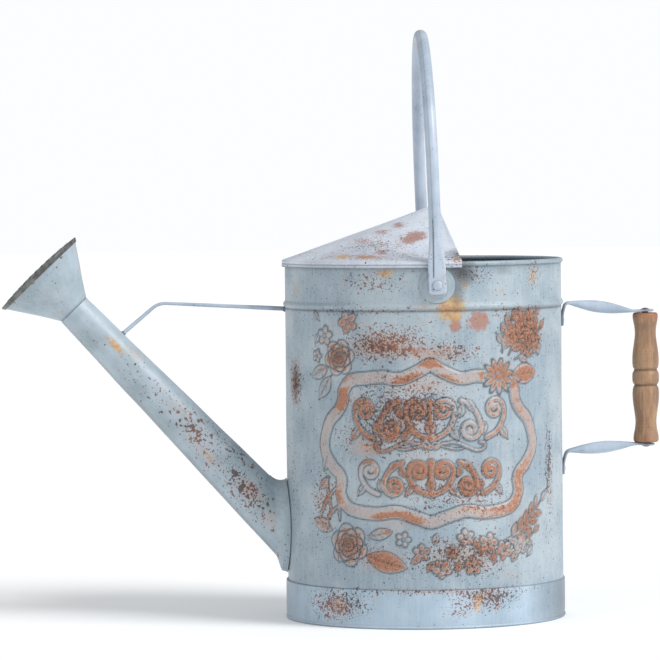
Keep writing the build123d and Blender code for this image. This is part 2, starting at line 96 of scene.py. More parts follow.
SPOUT_FOOT = Vector((-BODY_R, 0, 70.9 * MM))
SPOUT_LENGTH = 243.8 * MM
SPOUT_NECK = SPOUT_FOOT - SPOUT_DOWN * SPOUT_LENGTH
NECK_R, ROOT_R = 12.9 * MM, 19.9 * MM
print(f"body radius {BODY_R / MM:.1f}, rim at {RIM_WIRE_Z / MM:.1f}, bail pivot at {PIVOT.z / MM:.1f} mm")

# %% [markdown]
# ## Camera, floor and light
# The can is seen from the front and a little above, through a long lens, as in a catalogue. The floor is
# one wide pale disc with no backdrop, so the views from the sides and behind stay clear. A pale world
# gives even light, and two wide suns stand for soft boxes: the main one comes from the upper right.

# %% camera
SENSOR, LENS = 36.0, 241.14
VIEW_TARGET = Vector((-74.5, 0, 229.3)) * MM
VIEW_DISTANCE = 3530 * MM
VIEW_YAW, VIEW_HEIGHT, VIEW_ROLL = radians(-1.32), radians(2.24), radians(-0.59)
camera_data = bpy.data.cameras.new("camera")
camera_data.sensor_width = SENSOR
camera_data.lens = LENS
camera_data.clip_start, camera_data.clip_end = 0.1, 100
camera = bpy.data.objects.new("camera", camera_data)
bpy.context.scene.collection.objects.link(camera)
back = Vector((sin(VIEW_YAW) * cos(VIEW_HEIGHT), -cos(VIEW_YAW) * cos(VIEW_HEIGHT), sin(VIEW_HEIGHT)))
right = Vector((0, 0, 1)).cross(back).normalized()
above = back.cross(right)
right, above = (
    right * cos(VIEW_ROLL) + above * sin(VIEW_ROLL),
    above * cos(VIEW_ROLL) - right * sin(VIEW_ROLL),
)
turn = Matrix((right, above, back)).transposed().to_4x4()
camera.matrix_world = Matrix.Translation(VIEW_TARGET + back * VIEW_DISTANCE) @ turn
bpy.context.scene.camera = camera
print("camera at", [round(x, 3) for x in camera.matrix_world.translation])


# %% colours and light
def srgb(red, green, blue):
    """A display colour, 0 to 255, as the linear colour that shaders use."""
    shares = [c / 255 for c in (red, green, blue)]
    linear = [s / 12.92 if s <= 0.04045 else ((s + 0.055) / 1.055) ** 2.4 for s in shares]
    return (*linear, 1.0)


def sun(name, azimuth, height, strength, spread):
    """A distant soft light; azimuth 0 shines from the front, 90 from the right."""
    data = bpy.data.lights.new(name, "SUN")
    data.energy, data.angle = strength, radians(spread)
    lamp = bpy.data.objects.new(name, data)
    a, h = radians(azimuth), radians(height)
    towards = Vector((sin(a) * cos(h), -cos(a) * cos(h), sin(h)))
    lamp.rotation_mode = "QUATERNION"
    lamp.rotation_quaternion = towards.to_track_quat("Z", "Y")
    bpy.context.scene.collection.objects.link(lamp)


sun("key_light", azimuth=60, height=40, strength=2.3, spread=28)
sun("fill_light", azimuth=-50, height=25, strength=0.25, spread=60)
WORLD_LIGHT, WORLD_SEEN, WORLD_COLOUR = 0.52, 1.0, (0.97, 0.985, 1.0, 1.0)
world = bpy.data.worlds.new("studio")
world.use_nodes = True
surround = world.node_tree
light_path = surround.nodes.new("ShaderNodeLightPath")
seen_brighter = surround.nodes.new("ShaderNodeMapRange")
seen_brighter.inputs["To Min"].default_value = WORLD_LIGHT
seen_brighter.inputs["To Max"].default_value = WORLD_SEEN
surround.links.new(light_path.outputs["Is Camera Ray"], seen_brighter.inputs["Value"])
surround.links.new(seen_brighter.outputs["Result"], surround.nodes["Background"].inputs["Strength"])
surround.nodes["Background"].inputs["Color"].default_value = WORLD_COLOUR
bpy.context.scene.world = world
bpy.context.scene.view_settings.view_transform = "Standard"
print("two suns and a pale world are lit")

# %% floor
FLOOR_R, FLOOR_SIDES = 14.0, 96
floor_mesh = bpy.data.meshes.new("floor")
floor_turn = [2 * pi * i / FLOOR_SIDES for i in range(FLOOR_SIDES)]
floor_edge = [(FLOOR_R * cos(a), FLOOR_R * sin(a), 0) for a in floor_turn]
floor_mesh.from_pydata(floor_edge, [], [list(range(FLOOR_SIDES))])
floor = bpy.data.objects.new("floor", floor_mesh)
bpy.context.scene.collection.objects.link(floor)
floor_paint = bpy.data.materials.new("pale_floor")
floor_paint.use_nodes = True
floor_shader = floor_paint.node_tree.nodes["Principled BSDF"]
for socket, value in (
    ("Base Color", srgb(249, 250, 251)), ("Roughness", 0.85),
    ("Emission Color", (1, 1, 1, 1)), ("Emission Strength", 0.10),
):
    floor_shader.inputs[socket].default_value = value
floor.data.materials.append(floor_paint)
print("floor in place")


# %% [markdown]
# ## Materials
# Real paint on a can like this is brushed on thinly over a pinkish-brown primer, rubbed back on every
# raised edge and spattered with brown. One function builds that finish. It mixes layers by masks: how
# worn, how dark with dirt and painted shade, how rusty and how spattered each spot is comes from
# attributes stored on the mesh, and noise breaks those masks up so that no edge is smooth. Patterns use
# Object coordinates, in metres, so they hold still.

# %% node helpers
class Sums:
    """Sums in a node tree, for the two kinds of tree below. Each call gives back the new node's output."""

    def feed(self, socket, value):
        """Links a socket to another one, or sets it to a plain value."""
        if isinstance(value, bpy.types.NodeSocket):
            self.tree.links.new(value, socket)
        else:
            socket.default_value = value

    def maths(self, operation, first, second=0.0):
        node = self.tree.nodes.new("ShaderNodeMath")
        node.operation = operation
        self.feed(node.inputs[0], first)
        self.feed(node.inputs[1], second)
        return node.outputs[0]

    def plus(self, first, second):
        return self.maths("ADD", first, second)

    def minus(self, first, second):
        return self.maths("SUBTRACT", first, second)

    def times(self, first, second):
        return self.maths("MULTIPLY", first, second)

    def over(self, first, second):
        return self.maths("DIVIDE", first, second)

    def larger(self, first, second):
        return self.maths("MAXIMUM", first, second)


class Nodes(Sums):
    """A material under construction, with short names for the nodes that the finishes share."""

    def __init__(self, name):
        self.material = bpy.data.materials.new(name)
        self.material.use_nodes = True
        self.tree = self.material.node_tree
        self.shader = self.tree.nodes["Principled BSDF"]
        self.place = self.tree.nodes.new("ShaderNodeTexCoord").outputs["Object"]

    def attribute(self, name):
        node = self.tree.nodes.new("ShaderNodeAttribute")
        node.attribute_name = name
        return node.outputs["Fac"]

    def noise(self, scale, stretch=(1, 1, 1), turn=0.0, detail=4.0, roughness=0.55, shift=0.0):
        """Noise, drawn out along the axes where stretch is above 1; turn slopes its X axis, in degrees."""
        mapping = self.tree.nodes.new("ShaderNodeMapping")
        mapping.vector_type = "TEXTURE"
        mapping.inputs["Scale"].default_value = stretch
        mapping.inputs["Rotation"].default_value = (0, radians(turn), 0)
        mapping.inputs["Location"].default_value = (shift, shift * 0.7, -shift)
        self.tree.links.new(self.place, mapping.inputs["Vector"])
        node = self.tree.nodes.new("ShaderNodeTexNoise")
        node.inputs["Scale"].default_value = scale
        node.inputs["Detail"].default_value = detail
        node.inputs["Roughness"].default_value = roughness
        self.tree.links.new(mapping.outputs["Vector"], node.inputs["Vector"])
        return node.outputs["Fac"]

    def between(self, value, low, high):
        """0 below low, 1 above high, smooth in between."""
        node = self.tree.nodes.new("ShaderNodeMapRange")
        node.interpolation_type = "SMOOTHSTEP"
        self.feed(node.inputs["Value"], value)
        node.inputs["From Min"].default_value = low
        node.inputs["From Max"].default_value = high
        return node.outputs["Result"]

    def mix(self, share, first, second, kind="RGBA"):
        """From the first to the second as share goes from 0 to 1. The kind is RGBA, or FLOAT for numbers."""
        node = self.tree.nodes.new("ShaderNodeMix")
        node.data_type = kind
        self.feed(node.inputs["Factor"], share)
        self.feed(node.inputs["A"], first)
        self.feed(node.inputs["B"], second)
        return node.outputs["Result"]

    def lay(self, under, mask, strength, colour):
        """Lays a colour over another where the mask is above 0, as thickly as the strength."""
        return self.mix(self.times(mask, strength), under, colour)

    def bump(self, height, depth, before=None):
        """Small relief; depth is the real height of the pattern, in metres."""
        node = self.tree.nodes.new("ShaderNodeBump")
        node.inputs["Distance"].default_value = depth
        self.feed(node.inputs["Height"], height)
        if before is not None:
            self.tree.links.new(before, node.inputs["Normal"])
        return node.outputs["Normal"]

    def finish(self, colour, roughness, normal, metallic=0.0):
        self.feed(self.shader.inputs["Base Color"], colour)
        self.feed(self.shader.inputs["Roughness"], roughness)
        self.feed(self.shader.inputs["Normal"], normal)
        self.feed(self.shader.inputs["Metallic"], metallic)
        return self.material


# %% worn paint
COPPER = srgb(196, 134, 98)
BROWN = srgb(132, 88, 72)
PRIMER = srgb(168, 120, 104)
RUST = srgb(190, 124, 58)
OCHRE = srgb(206, 164, 84)
PEACH = srgb(196, 148, 118)
# The darkest tone below is laid both for dirt and for painted shade.
DIRT_AND_SHADE_TONE = srgb(50, 42, 40)
TARNISH = srgb(158, 158, 146)
DARK_DROP, BROWN_DROP = srgb(84, 66, 64), srgb(126, 84, 68)


def worn_paint(
    name, pale, deep, tint, streak=(1, 1, 12), turn=0.0, spatter=0.0, primer_show=0.0, shine=0.42, spot=430
):
    """Thin brushed paint over primer. The brush marks are drawn out along the axis where streak is large."""
    n = Nodes(name)
    wear, grime = n.attribute("wear"), n.attribute("grime")
    rust, specks, bare = n.attribute("rust"), n.attribute("specks"), n.attribute("bare")
    cloud = n.noise(26, detail=3, shift=1.3)
    brushed = n.noise(520, stretch=streak, turn=turn, detail=5, roughness=0.6)
    fine = n.noise(1500, detail=4, roughness=0.65, shift=3.1)
    blots = n.noise(330, detail=5, roughness=0.62, shift=5.7)
    tarnish = n.noise(75, detail=4, shift=9.0)

    # The paint: two shades in slow clouds, then pale brush marks and dull patches.
    paint = n.mix(n.between(cloud, 0.36, 0.64), deep, pale)
    paint = n.lay(paint, n.between(brushed, 0.35, 0.75), 0.34, tint)
    paint = n.lay(paint, n.between(tarnish, 0.55, 0.78), 0.22, TARNISH)

    # What shows through it: primer where it is bare, and brown metal and copper where it is rubbed.
    ragged = n.minus(n.plus(n.times(blots, 0.75), n.times(fine, 0.45)), 0.62)
    primer_mask = n.between(n.plus(n.plus(bare, primer_show), ragged), 0.46, 0.60)
    paint = n.lay(paint, primer_mask, 0.85, PRIMER)
    paint = n.lay(paint, n.between(wear, 0.10, 0.95), 0.72, PEACH)
    worn = n.between(n.plus(wear, ragged), 0.56, 0.72)
    paint = n.lay(paint, worn, 0.86, n.mix(n.between(fine, 0.40, 0.62), BROWN, COPPER))

    # What lies on it: brown drops in two sizes, rust in a fine spray, and a dark layer for dirt and painted
    # shade.
    dots = n.noise(spot, detail=3, roughness=0.5, shift=12.0)
    dot_level = n.plus(n.times(specks, 0.26), n.plus(dots, spatter))
    pepper = n.noise(2.1 * spot, detail=2, roughness=0.5, shift=15.0)
    pepper_level = n.plus(n.times(specks, 0.24), n.plus(pepper, spatter))
    dot_mask = n.larger(n.between(dot_level, 0.735, 0.78), n.between(pepper_level, 0.73, 0.78))
    paint = n.lay(paint, dot_mask, 0.9, n.mix(n.between(cloud, 0.45, 0.55), DARK_DROP, BROWN_DROP))
    spray = n.noise(620, detail=3, roughness=0.6, shift=18.0)
    sprayed = n.plus(n.times(spray, 0.9), n.times(fine, 0.4))
    rusty = n.between(n.plus(rust, n.minus(sprayed, 0.66)), 0.40, 0.62)
    paint = n.lay(paint, rusty, 0.75, n.mix(n.between(blots, 0.42, 0.58), RUST, OCHRE))
    paint = n.lay(paint, n.times(grime, n.between(fine, 0.10, 0.55)), 0.92, DIRT_AND_SHADE_TONE)

    rough = n.mix(n.larger(worn, dot_mask), shine, 0.68, "FLOAT")
    lifted = n.bump(n.larger(worn, n.larger(dot_mask, primer_mask)), -0.06 * MM)
    grain = n.bump(brushed, 0.05 * MM, lifted)
    return n.finish(paint, rough, n.bump(fine, 0.03 * MM, grain))


blue_grey = worn_paint("blue_grey_paint", srgb(168, 182, 191), srgb(143, 161, 174), srgb(190, 200, 202))
foot_blue = worn_paint("foot_band_paint", srgb(176, 196, 213), srgb(158, 180, 196), srgb(196, 208, 216))
spout_grey = worn_paint(
    "spout_paint", srgb(174, 189, 200), srgb(150, 166, 174), srgb(192, 204, 212),
    streak=(10, 1, 1), turn=degrees(SEAT_ANGLE), spatter=-0.01, spot=250,
)
lilac_white = worn_paint(
    "hood_paint", srgb(212, 221, 233), srgb(194, 202, 216), srgb(228, 232, 238),
    streak=(9, 1, 1), turn=-21, primer_show=0.05,
)
handle_paint = worn_paint(
    "handle_paint", srgb(184, 198, 214), srgb(160, 176, 192), srgb(206, 214, 226),
    streak=(1, 1, 16), spatter=-0.03, shine=0.36,
)
print("paints:", [m.name for m in (blue_grey, foot_blue, spout_grey, lilac_white, handle_paint)])


# %% [markdown]
# ## Bare metals, solder and wood
# The rose's face and the rod in the grip are dark steel, the pan is dull galvanised sheet, and the wire
# shows only inside the rolled edges. The grip is a turned hardwood: its grain runs along the turning
# axis, so the pattern is stretched along Z and bent into rings by noise, with darker grooves from an
# attribute.

# %% metals and wood
FRECKLE = srgb(120, 84, 62)


def bare_metal(name, pale, deep, rough, metallic, mottle=140):
    """Oxidised metal: two greys in patches, rusty freckles and an uneven polish."""
    n = Nodes(name)
    patches = n.noise(mottle, detail=5, roughness=0.6)
    fine = n.noise(1800, detail=3, shift=2.0)
    colour = n.mix(n.between(patches, 0.35, 0.65), deep, pale)
    freckle = n.between(n.noise(420, detail=4, shift=7.0), 0.66, 0.74)
    colour = n.lay(colour, freckle, 0.8, FRECKLE)
    colour = n.lay(colour, n.attribute("grime"), 0.75, DIRT_AND_SHADE_TONE)
    roughness = n.mix(patches, rough - 0.08, rough + 0.14, "FLOAT")
    normal = n.bump(fine, 0.02 * MM, n.bump(patches, 0.08 * MM))
    return n.finish(colour, roughness, normal, metallic)


dark_steel = bare_metal("dark_steel", srgb(128, 128, 126), srgb(92, 92, 92), 0.42, 0.7)
galvanised = bare_metal("galvanised_steel", srgb(168, 174, 178), srgb(132, 140, 146), 0.38, 0.85, mottle=60)
soft_solder = bare_metal("solder", srgb(148, 156, 162), srgb(104, 112, 118), 0.5, 0.55, mottle=420)
plain_wire = bare_metal("bare_wire", srgb(128, 126, 122), srgb(92, 88, 84), 0.48, 0.8, mottle=240)


def turned_wood(name):
    """Old oiled hardwood: long grain and open pores, grey with handling, burnt red where it rubs."""
    n = Nodes(name)
    grain = n.noise(620, stretch=(1, 1, 22), detail=6, roughness=0.62)
    bands = n.noise(95, stretch=(1, 1, 8), detail=3, shift=4.0)
    pores = n.noise(2600, stretch=(1, 1, 30), detail=2, shift=8.0)
    patina = n.noise(60, detail=3, shift=2.2)
    colour = n.mix(n.between(bands, 0.35, 0.65), srgb(142, 106, 78), srgb(172, 136, 104))
    for mask, strength, tone in (
        (n.between(grain, 0.38, 0.68), 0.55, srgb(192, 158, 126)),
        (n.between(pores, 0.56, 0.70), 0.55, srgb(106, 72, 50)),
        (n.between(patina, 0.40, 0.66), 0.45, srgb(118, 98, 84)),
        (n.attribute("wear"), 0.55, srgb(176, 96, 60)),
        (n.attribute("grime"), 0.72, srgb(66, 46, 34)),
    ):
        colour = n.lay(colour, mask, strength, tone)
    rough = n.mix(grain, 0.38, 0.58, "FLOAT")
    normal = n.bump(pores, -0.05 * MM, n.bump(grain, 0.06 * MM))
    return n.finish(colour, rough, normal)


wood = turned_wood("turned_wood")
print("metals and wood:", [m.name for m in (dark_steel, galvanised, soft_solder, plain_wire, wood)])


# %% [markdown]
# ## Helpers for meshes
# Most pieces are sheets bent round an axis, so they start as a grid of points in rows. One helper turns
# rows of points into a mesh, closed round or not, and closes a pole where a row shrinks to a point.
# Another stores the masks that the paint reads, and a third finishes a piece: material, smooth shading
# with crisp corners, the body that it rides on and the design node that it stands for.

# %% mesh helpers
def grid_mesh(name, rows, around=True, loop_rows=False):
    """A mesh from an array of points, rows x columns x 3. The faces look outwards if rows go up and columns
    go anticlockwise seen from above."""
    rows = np.asarray(rows, float)
    count, wide = rows.shape[:2]
    index = np.arange(count * wide).reshape(count, wide)
    if around:
        index = np.concatenate([index, index[:, :1]], 1)
    if loop_rows:
        index = np.concatenate([index, index[:1]], 0)
    quads = np.stack([index[:-1, :-1], index[:-1, 1:], index[1:, 1:], index[1:, :-1]], -1).reshape(-1, 4)
    mesh = bpy.data.meshes.new(name)
    mesh.from_pydata(rows.reshape(-1, 3).tolist(), [], quads.tolist())
    mesh.update()
    return mesh


def points_of(mesh):
    flat = np.zeros(len(mesh.vertices) * 3)
    mesh.vertices.foreach_get("co", flat)
    return flat.reshape(-1, 3)


def move_points(mesh, places):
    mesh.vertices.foreach_set("co", np.asarray(places, np.float32).ravel())


def store(mesh, **masks):
    """Stores a number from 0 to 1 on each point, under each name. One number alone goes to every point."""
    for name, values in masks.items():
        layer = mesh.attributes.new(name, "FLOAT", "POINT")
        every = np.broadcast_to(np.clip(values, 0, 1), len(mesh.vertices))
        layer.data.foreach_set("value", every.astype(np.float32))


def merge(mesh, distance=0.002 * MM):
    """Joins points that meet, drops what has no size, and turns the faces outwards."""
    work = bmesh.new()
    work.from_mesh(mesh)
    bmesh.ops.remove_doubles(work, verts=work.verts, dist=distance)
    bmesh.ops.dissolve_degenerate(work, edges=work.edges, dist=distance)
    bmesh.ops.recalc_face_normals(work, faces=work.faces)
    work.to_mesh(mesh)
    work.free()


def close_ends(mesh, join_within=0.0):
    """Puts a face over each open end and turns the faces outwards."""
    work = bmesh.new()
    work.from_mesh(mesh)
    if join_within:
        bmesh.ops.remove_doubles(work, verts=work.verts, dist=join_within)
    bmesh.ops.holes_fill(work, edges=[e for e in work.edges if e.is_boundary])
    bmesh.ops.recalc_face_normals(work, faces=work.faces)
    work.to_mesh(mesh)
    work.free()


def with_modifier(mesh, kind, **settings):
    """The mesh as a modifier leaves it."""
    carrier = bpy.data.objects.new("carrier", mesh)
    bpy.context.scene.collection.objects.link(carrier)
    modifier = carrier.modifiers.new("step", kind)
    for key, value in settings.items():
        setattr(modifier, key, value)
    made = bpy.data.meshes.new_from_object(carrier.evaluated_get(bpy.context.evaluated_depsgraph_get()))
    bpy.data.objects.remove(carrier)
    return made


def thicken(mesh, thickness):
    """Gives a sheet its thickness, inwards from the faces, and closes its edges."""
    return with_modifier(mesh, "SOLIDIFY", thickness=thickness, offset=-1.0, use_even_offset=True)


def piece(name, mesh, material, body, replaces=(), crease=38):
    """Finishes a piece: shading, material, body and the nodes it stands for."""
    mesh.name = name
    mesh.materials.clear()
    mesh.materials.append(material)
    mesh.shade_smooth()
    mesh.set_sharp_from_angle(angle=radians(crease))
    made = bpy.data.objects.new(name, mesh)
    bpy.context.scene.collection.objects.link(made)
    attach(made, body)
    if replaces:
        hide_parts(*replaces)
    print(f"{name}: {len(mesh.vertices)} points, {len(mesh.polygons)} faces")


def uneven(points, size, depth, seed=0.0):
    """Slow bumps, as hand work leaves: a sum of slanted waves of about one size."""
    x, y, z = (points[..., i] / size * 2 * pi for i in range(3))
    waves = np.sin(x + 0.7 * y + seed) + np.sin(0.8 * y - 0.6 * z + 2.1 * seed + 1)
    waves += np.sin(0.9 * z + 0.5 * x - 1.7 * seed + 2) + np.sin(0.6 * x - 0.8 * z + y + seed)
    return depth * waves / 4


def bell(values, centre, width):
    """1 at the centre, falling smoothly to nearly 0 at twice the width away."""
    return np.exp(-(((values - centre) / width) ** 2))


def soft_oval(away, strength):
    """The strength at the middle of an oval, fading across its edge, which is where away is 1."""
    return strength * np.clip(1.15 - away, 0, 1) ** 0.7


def ease(share):
    """A smooth step from 0 to 1."""
    return share * share * (3 - 2 * share)


def hermite(t, start, start_slope, finish, finish_slope):
    """A smooth line between two points with a given slope at each."""
    return (
        (2 * t**3 - 3 * t**2 + 1) * start + (t**3 - 2 * t**2 + t) * start_slope
        + (3 * t**2 - 2 * t**3) * finish + (t**3 - t**2) * finish_slope
    )


def spread(points, centre, reach):
    """1 at the centre, falling smoothly to 0 at the reach; the reach may differ by axis."""
    away = np.sqrt((((points - np.asarray(centre)) / np.asarray(reach)) ** 2).sum(-1))
    return np.clip(1 - away, 0, 1) ** 0.5 * (away < 1)


print("helpers ready")


# %% [markdown]
# ## The embossed front
# The front of the can is pressed from inside: a double-line cartouche, scrolls, roses, daisies and leaves
# stand about a millimetre proud. Modelling each line as geometry would never blend into the sheet. A
# drawing board does it better: a fine grid of heights over the front of the can, laid flat, into which
# strokes and mounds are stamped. The body's points then read their height from it, and the same drawing
# gives the worn crests and the dark line at the foot of each ridge, which is partly dirt and partly painted
# shade. Along the board, s runs round the can and z runs up, both in millimetres.

# %% the drawing board
BOARD_HALF, BOARD_LOW, BOARD_HIGH, CELL = 118.0, 34.0, 247.0, 0.4
board_s = np.arange(-BOARD_HALF, BOARD_HALF + CELL, CELL)
board_z = np.arange(BOARD_LOW, BOARD_HIGH + CELL, CELL)
height_map = np.zeros((len(board_z), len(board_s)))
FAR_AWAY = 9.0
edge_map = np.full_like(height_map, FAR_AWAY)
groove_map = np.zeros_like(height_map)


def cells_near(s, z, reach):
    """The part of the board round a spot, with the offsets of its cells from the spot."""
    a, b = np.searchsorted(board_s, (s - reach, s + reach))
    c, d = np.searchsorted(board_z, (z - reach, z + reach))
    return (slice(c, d), slice(a, b)), board_s[a:b] - s, (board_z[c:d] - z)[:, None]


def stamp(s, z, reach, shape):
    """Presses one spot. shape gives (height, distance outside its edge) for offsets from the spot."""
    part, ds, dz = cells_near(s, z, reach)
    if ds.size and dz.size:
        height, outside = shape(ds, dz)
        np.maximum(height_map[part], height, out=height_map[part])
        np.minimum(edge_map[part], outside, out=edge_map[part])


def smooth_path(points, closed=False, step=0.35):
    """Evenly spaced points on a smooth line through the given ones."""
    p = np.asarray(points, float)
    ends = (p[-1:], p[:2]) if closed else (2 * p[:1] - p[1:2], 2 * p[-1:] - p[-2:-1])
    p = np.concatenate([ends[0], p, ends[1]])
    line = []
    for before, here, there, after in zip(p, p[1:], p[2:], p[3:]):
        t = np.linspace(0, 1, max(2, ceil(np.linalg.norm(there - here) / step)), endpoint=False)[:, None]
        line.append(hermite(t, here, (there - before) / 2, there, (after - here) / 2))
    return np.concatenate(line)


def groove(points, half_width=0.8, depth=0.7):
    """A line pressed in again, as between two petals."""
    for s, z in smooth_path(points):
        part, ds, dz = cells_near(s, z, half_width + CELL)
        cut = depth * np.clip(1 - (np.hypot(ds, dz) / half_width) ** 2, 0, 1)
        np.maximum(groove_map[part], cut, out=groove_map[part])


def stroke(points, half_width=1.3, height=1.0, taper=False, closed=False):
    """A raised line. With taper it thins to both ends."""
    line = smooth_path(points, closed)
    for i, (s, z) in enumerate(line):
        share = sin(pi * (0.12 + 0.76 * i / len(line))) if taper else 1.0
        wide, high = half_width * share, height * share

        def ridge(ds, dz):
            away = np.sqrt(ds**2 + dz**2)
            return high * np.clip(1 - (away / wide) ** 3, 0, 1), away - wide

        stamp(s, z, wide + 1.5, ridge)


def mound(s, z, long, short, angle=0.0, height=0.8):
    """A puffed oval, turned by an angle in degrees."""
    ca, sa = cos(radians(angle)), sin(radians(angle))

    def oval(ds, dz):
        rho = np.sqrt(((ds * ca + dz * sa) / long) ** 2 + ((dz * ca - ds * sa) / short) ** 2)
        return height * np.clip(1 - rho**2, 0, 1) ** 0.6, (rho - 1) * short

    stamp(s, z, long + 1.5, oval)


print("board of", height_map.shape, "cells")

# %% [markdown]
# Flowers and leaves repeat with small changes, so each kind is a function of its place, size and angle.
# Each is a raised pad with grooves pressed into it: a rose is a lobed pad with rings of petal edges round
# a spiral, a daisy is a ring of ovals, and a leaf is a pointed pad with a middle rib and side veins.

# %% flowers and leaves
def turned(points, s, z, angle):
    """Points drawn about the origin, turned and moved to (s, z)."""
    ca, sa = cos(radians(angle)), sin(radians(angle))
    return [(s + x * ca - y * sa, z + x * sa + y * ca) for x, y in points]


def rose(s, z, radius, lean=0.0):
    """A lobed pad with three rings of petal edges round a spiral heart; lean turns it, in degrees."""
    mound(s, z, radius * 0.86, radius * 0.86, height=1.3)
    for number in range(6):
        at = turned([(0.62 * radius, 0)], s, z, lean + 60 * number)[0]
        mound(*at, 0.40 * radius, 0.40 * radius, height=1.15)
    for ring, (share, petals) in enumerate(((0.74, 6), (0.52, 5), (0.32, 3))):
        for number in range(petals):
            first = lean + 360 * (number + 0.5 * ring) / petals
            angles = [radians(first + 360 / petals * 1.05 * k / 6) for k in range(7)]
            bow = [share * (0.86 + 0.20 * sin(pi * k / 6)) * radius for k in range(7)]
            groove([(s + r * cos(a), z + r * sin(a)) for r, a in zip(bow, angles)], 0.85, 0.9)
    heart = [(0.05 + 0.17 * k / 12, radians(lean + 45 * k)) for k in range(13)]
    groove([(s + q * radius * cos(a), z + q * radius * sin(a)) for q, a in heart], 0.7, 0.8)


def daisy(s, z, radius, petals, lean):
    """A ring of oval petals round a raised eye."""
    plump = min(0.40, 1.7 / petals)
    for number in range(petals):
        at = turned([(0.60 * radius, 0)], s, z, lean + 360 * number / petals)[0]
        mound(*at, 0.42 * radius, plump * radius, lean + 360 * number / petals, 1.1)
    mound(s, z, 0.22 * radius, 0.22 * radius, height=1.35)
    ring = [radians(30 * k) for k in range(13)]
    groove([(s + 0.26 * radius * cos(a), z + 0.26 * radius * sin(a)) for a in ring], 0.6, 0.6)


def leaf(s, z, length, angle, width=0.42, veins=3):
    """A pointed leaf that grows from (s, z) in the direction of its angle."""
    half, middle = length * width / 2, length / 2
    ca, sa = cos(radians(angle)), sin(radians(angle))

    def blade(ds, dz):
        along = np.clip((ds * ca + dz * sa) / length + 0.5, 0, 1)
        across = np.abs(dz * ca - ds * sa)
        edge = half * np.sin(pi * along) ** 0.8 + 0.01
        return 1.05 * np.clip(1 - (across / edge) ** 4, 0, 1) ** 0.5 * (edge > 0.2), across - edge

    stamp(s + middle * ca, z + middle * sa, middle + 0.5, blade)
    groove(turned([(0.1 * length, 0), (0.9 * length, 0)], s, z, angle), 0.55, 0.6)
    for number in range(veins):
        root = (0.2 + 0.2 * number) * length
        for side in (1, -1):
            tip = (root + 0.17 * length, side * 0.62 * half)
            groove(turned([(root, 0), tip], s, z, angle), 0.45, 0.4)


def sprig(points, leaf_length, pairs, width):
    """A stem with leaves along it, on alternate sides, and one at its tip."""
    stroke(points, 0.8, 0.9, taper=True)
    line = smooth_path(points)
    for number in range(pairs * 2):
        at = int((0.12 + 0.80 * number / (pairs * 2)) * (len(line) - 2))
        ahead = line[at + 1] - line[at]
        heading = degrees(atan2(ahead[1], ahead[0])) + (42 if number % 2 else -42)
        leaf(*line[at], leaf_length, heading, width, veins=0)
    ahead = line[-1] - line[-2]
    leaf(*line[-1], leaf_length, degrees(atan2(ahead[1], ahead[0])), width, veins=0)


def curl(s, z, radius, start, turns, hand, thick):
    """A C-scroll: a spiral that winds in to a round end."""
    steps = 18
    line = []
    for k in range(steps + 1):
        share = k / steps
        angle = radians(start + hand * 360 * turns * share)
        reach = radius * (1 - 0.74 * share)
        line.append((s + reach * cos(angle), z + reach * sin(angle)))
    stroke(line, thick, 1.3)
    mound(*line[-1], 1.5 * thick, 1.5 * thick, height=1.5)


print("rose, daisy, leaf, sprig and curl are ready")

# %% [markdown]
# The cartouche is a closed ribbon, the same on its left and right: a flat band with a dark line at each
# edge. Every cell of the board knows its distance from the outer line and whether it is inside, so the
# band is simply where that distance is less than the ribbon's width.

# %% the cartouche
RIBBON_WIDE, RIBBON_HEIGHT, RIBBON_SLOPE, RIBBON_SPILL = 8.2, 1.45, 1.7, 0.9
half_outline = [
    (0, 210), (11, 204.5), (24.5, 199), (36, 200.5), (50, 199.5), (66, 197), (75, 187), (76, 179),
    (80, 172), (89, 163), (95, 146), (93, 134), (85, 123), (78, 116), (79, 106), (75, 96), (67, 89.5),
    (54, 86.5), (40, 86), (27, 87.5), (12, 83),
]
outline = half_outline + [(0, 79.3)] + [(-s, z) for s, z in reversed(half_outline[1:])]
line = smooth_path(outline, closed=True, step=0.7)
grid_s, grid_z = np.meshgrid(board_s, board_z)
away = np.full_like(height_map, 1e9)
inside = np.zeros(height_map.shape, bool)
for (s0, z0), (s1, z1) in zip(line, np.roll(line, -1, 0)):
    np.minimum(away, (grid_s - s0) ** 2 + (grid_z - z0) ** 2, out=away)
    crosses = (z0 > grid_z) != (z1 > grid_z)
    if z1 != z0:
        inside ^= crosses & (grid_s < s0 + (s1 - s0) * (grid_z - z0) / (z1 - z0))
away = np.sqrt(away) * np.where(inside, 1, -1)
from_edge = RIBBON_WIDE / 2 + RIBBON_SPILL - np.abs(away - RIBBON_WIDE / 2)
ribbon = ease(np.clip(from_edge / RIBBON_SLOPE, 0, 1))
np.maximum(height_map, RIBBON_HEIGHT * ribbon, out=height_map)
np.minimum(edge_map, -from_edge, out=edge_map)
print("cartouche", len(line), "points round")

# %% [markdown]
# Inside the cartouche run two rows of scrollwork: big C-scrolls back to back, with a bud in each and leaves
# between them. A flourish with a knot lies between the rows, and flowers and leaves gather at the corners.

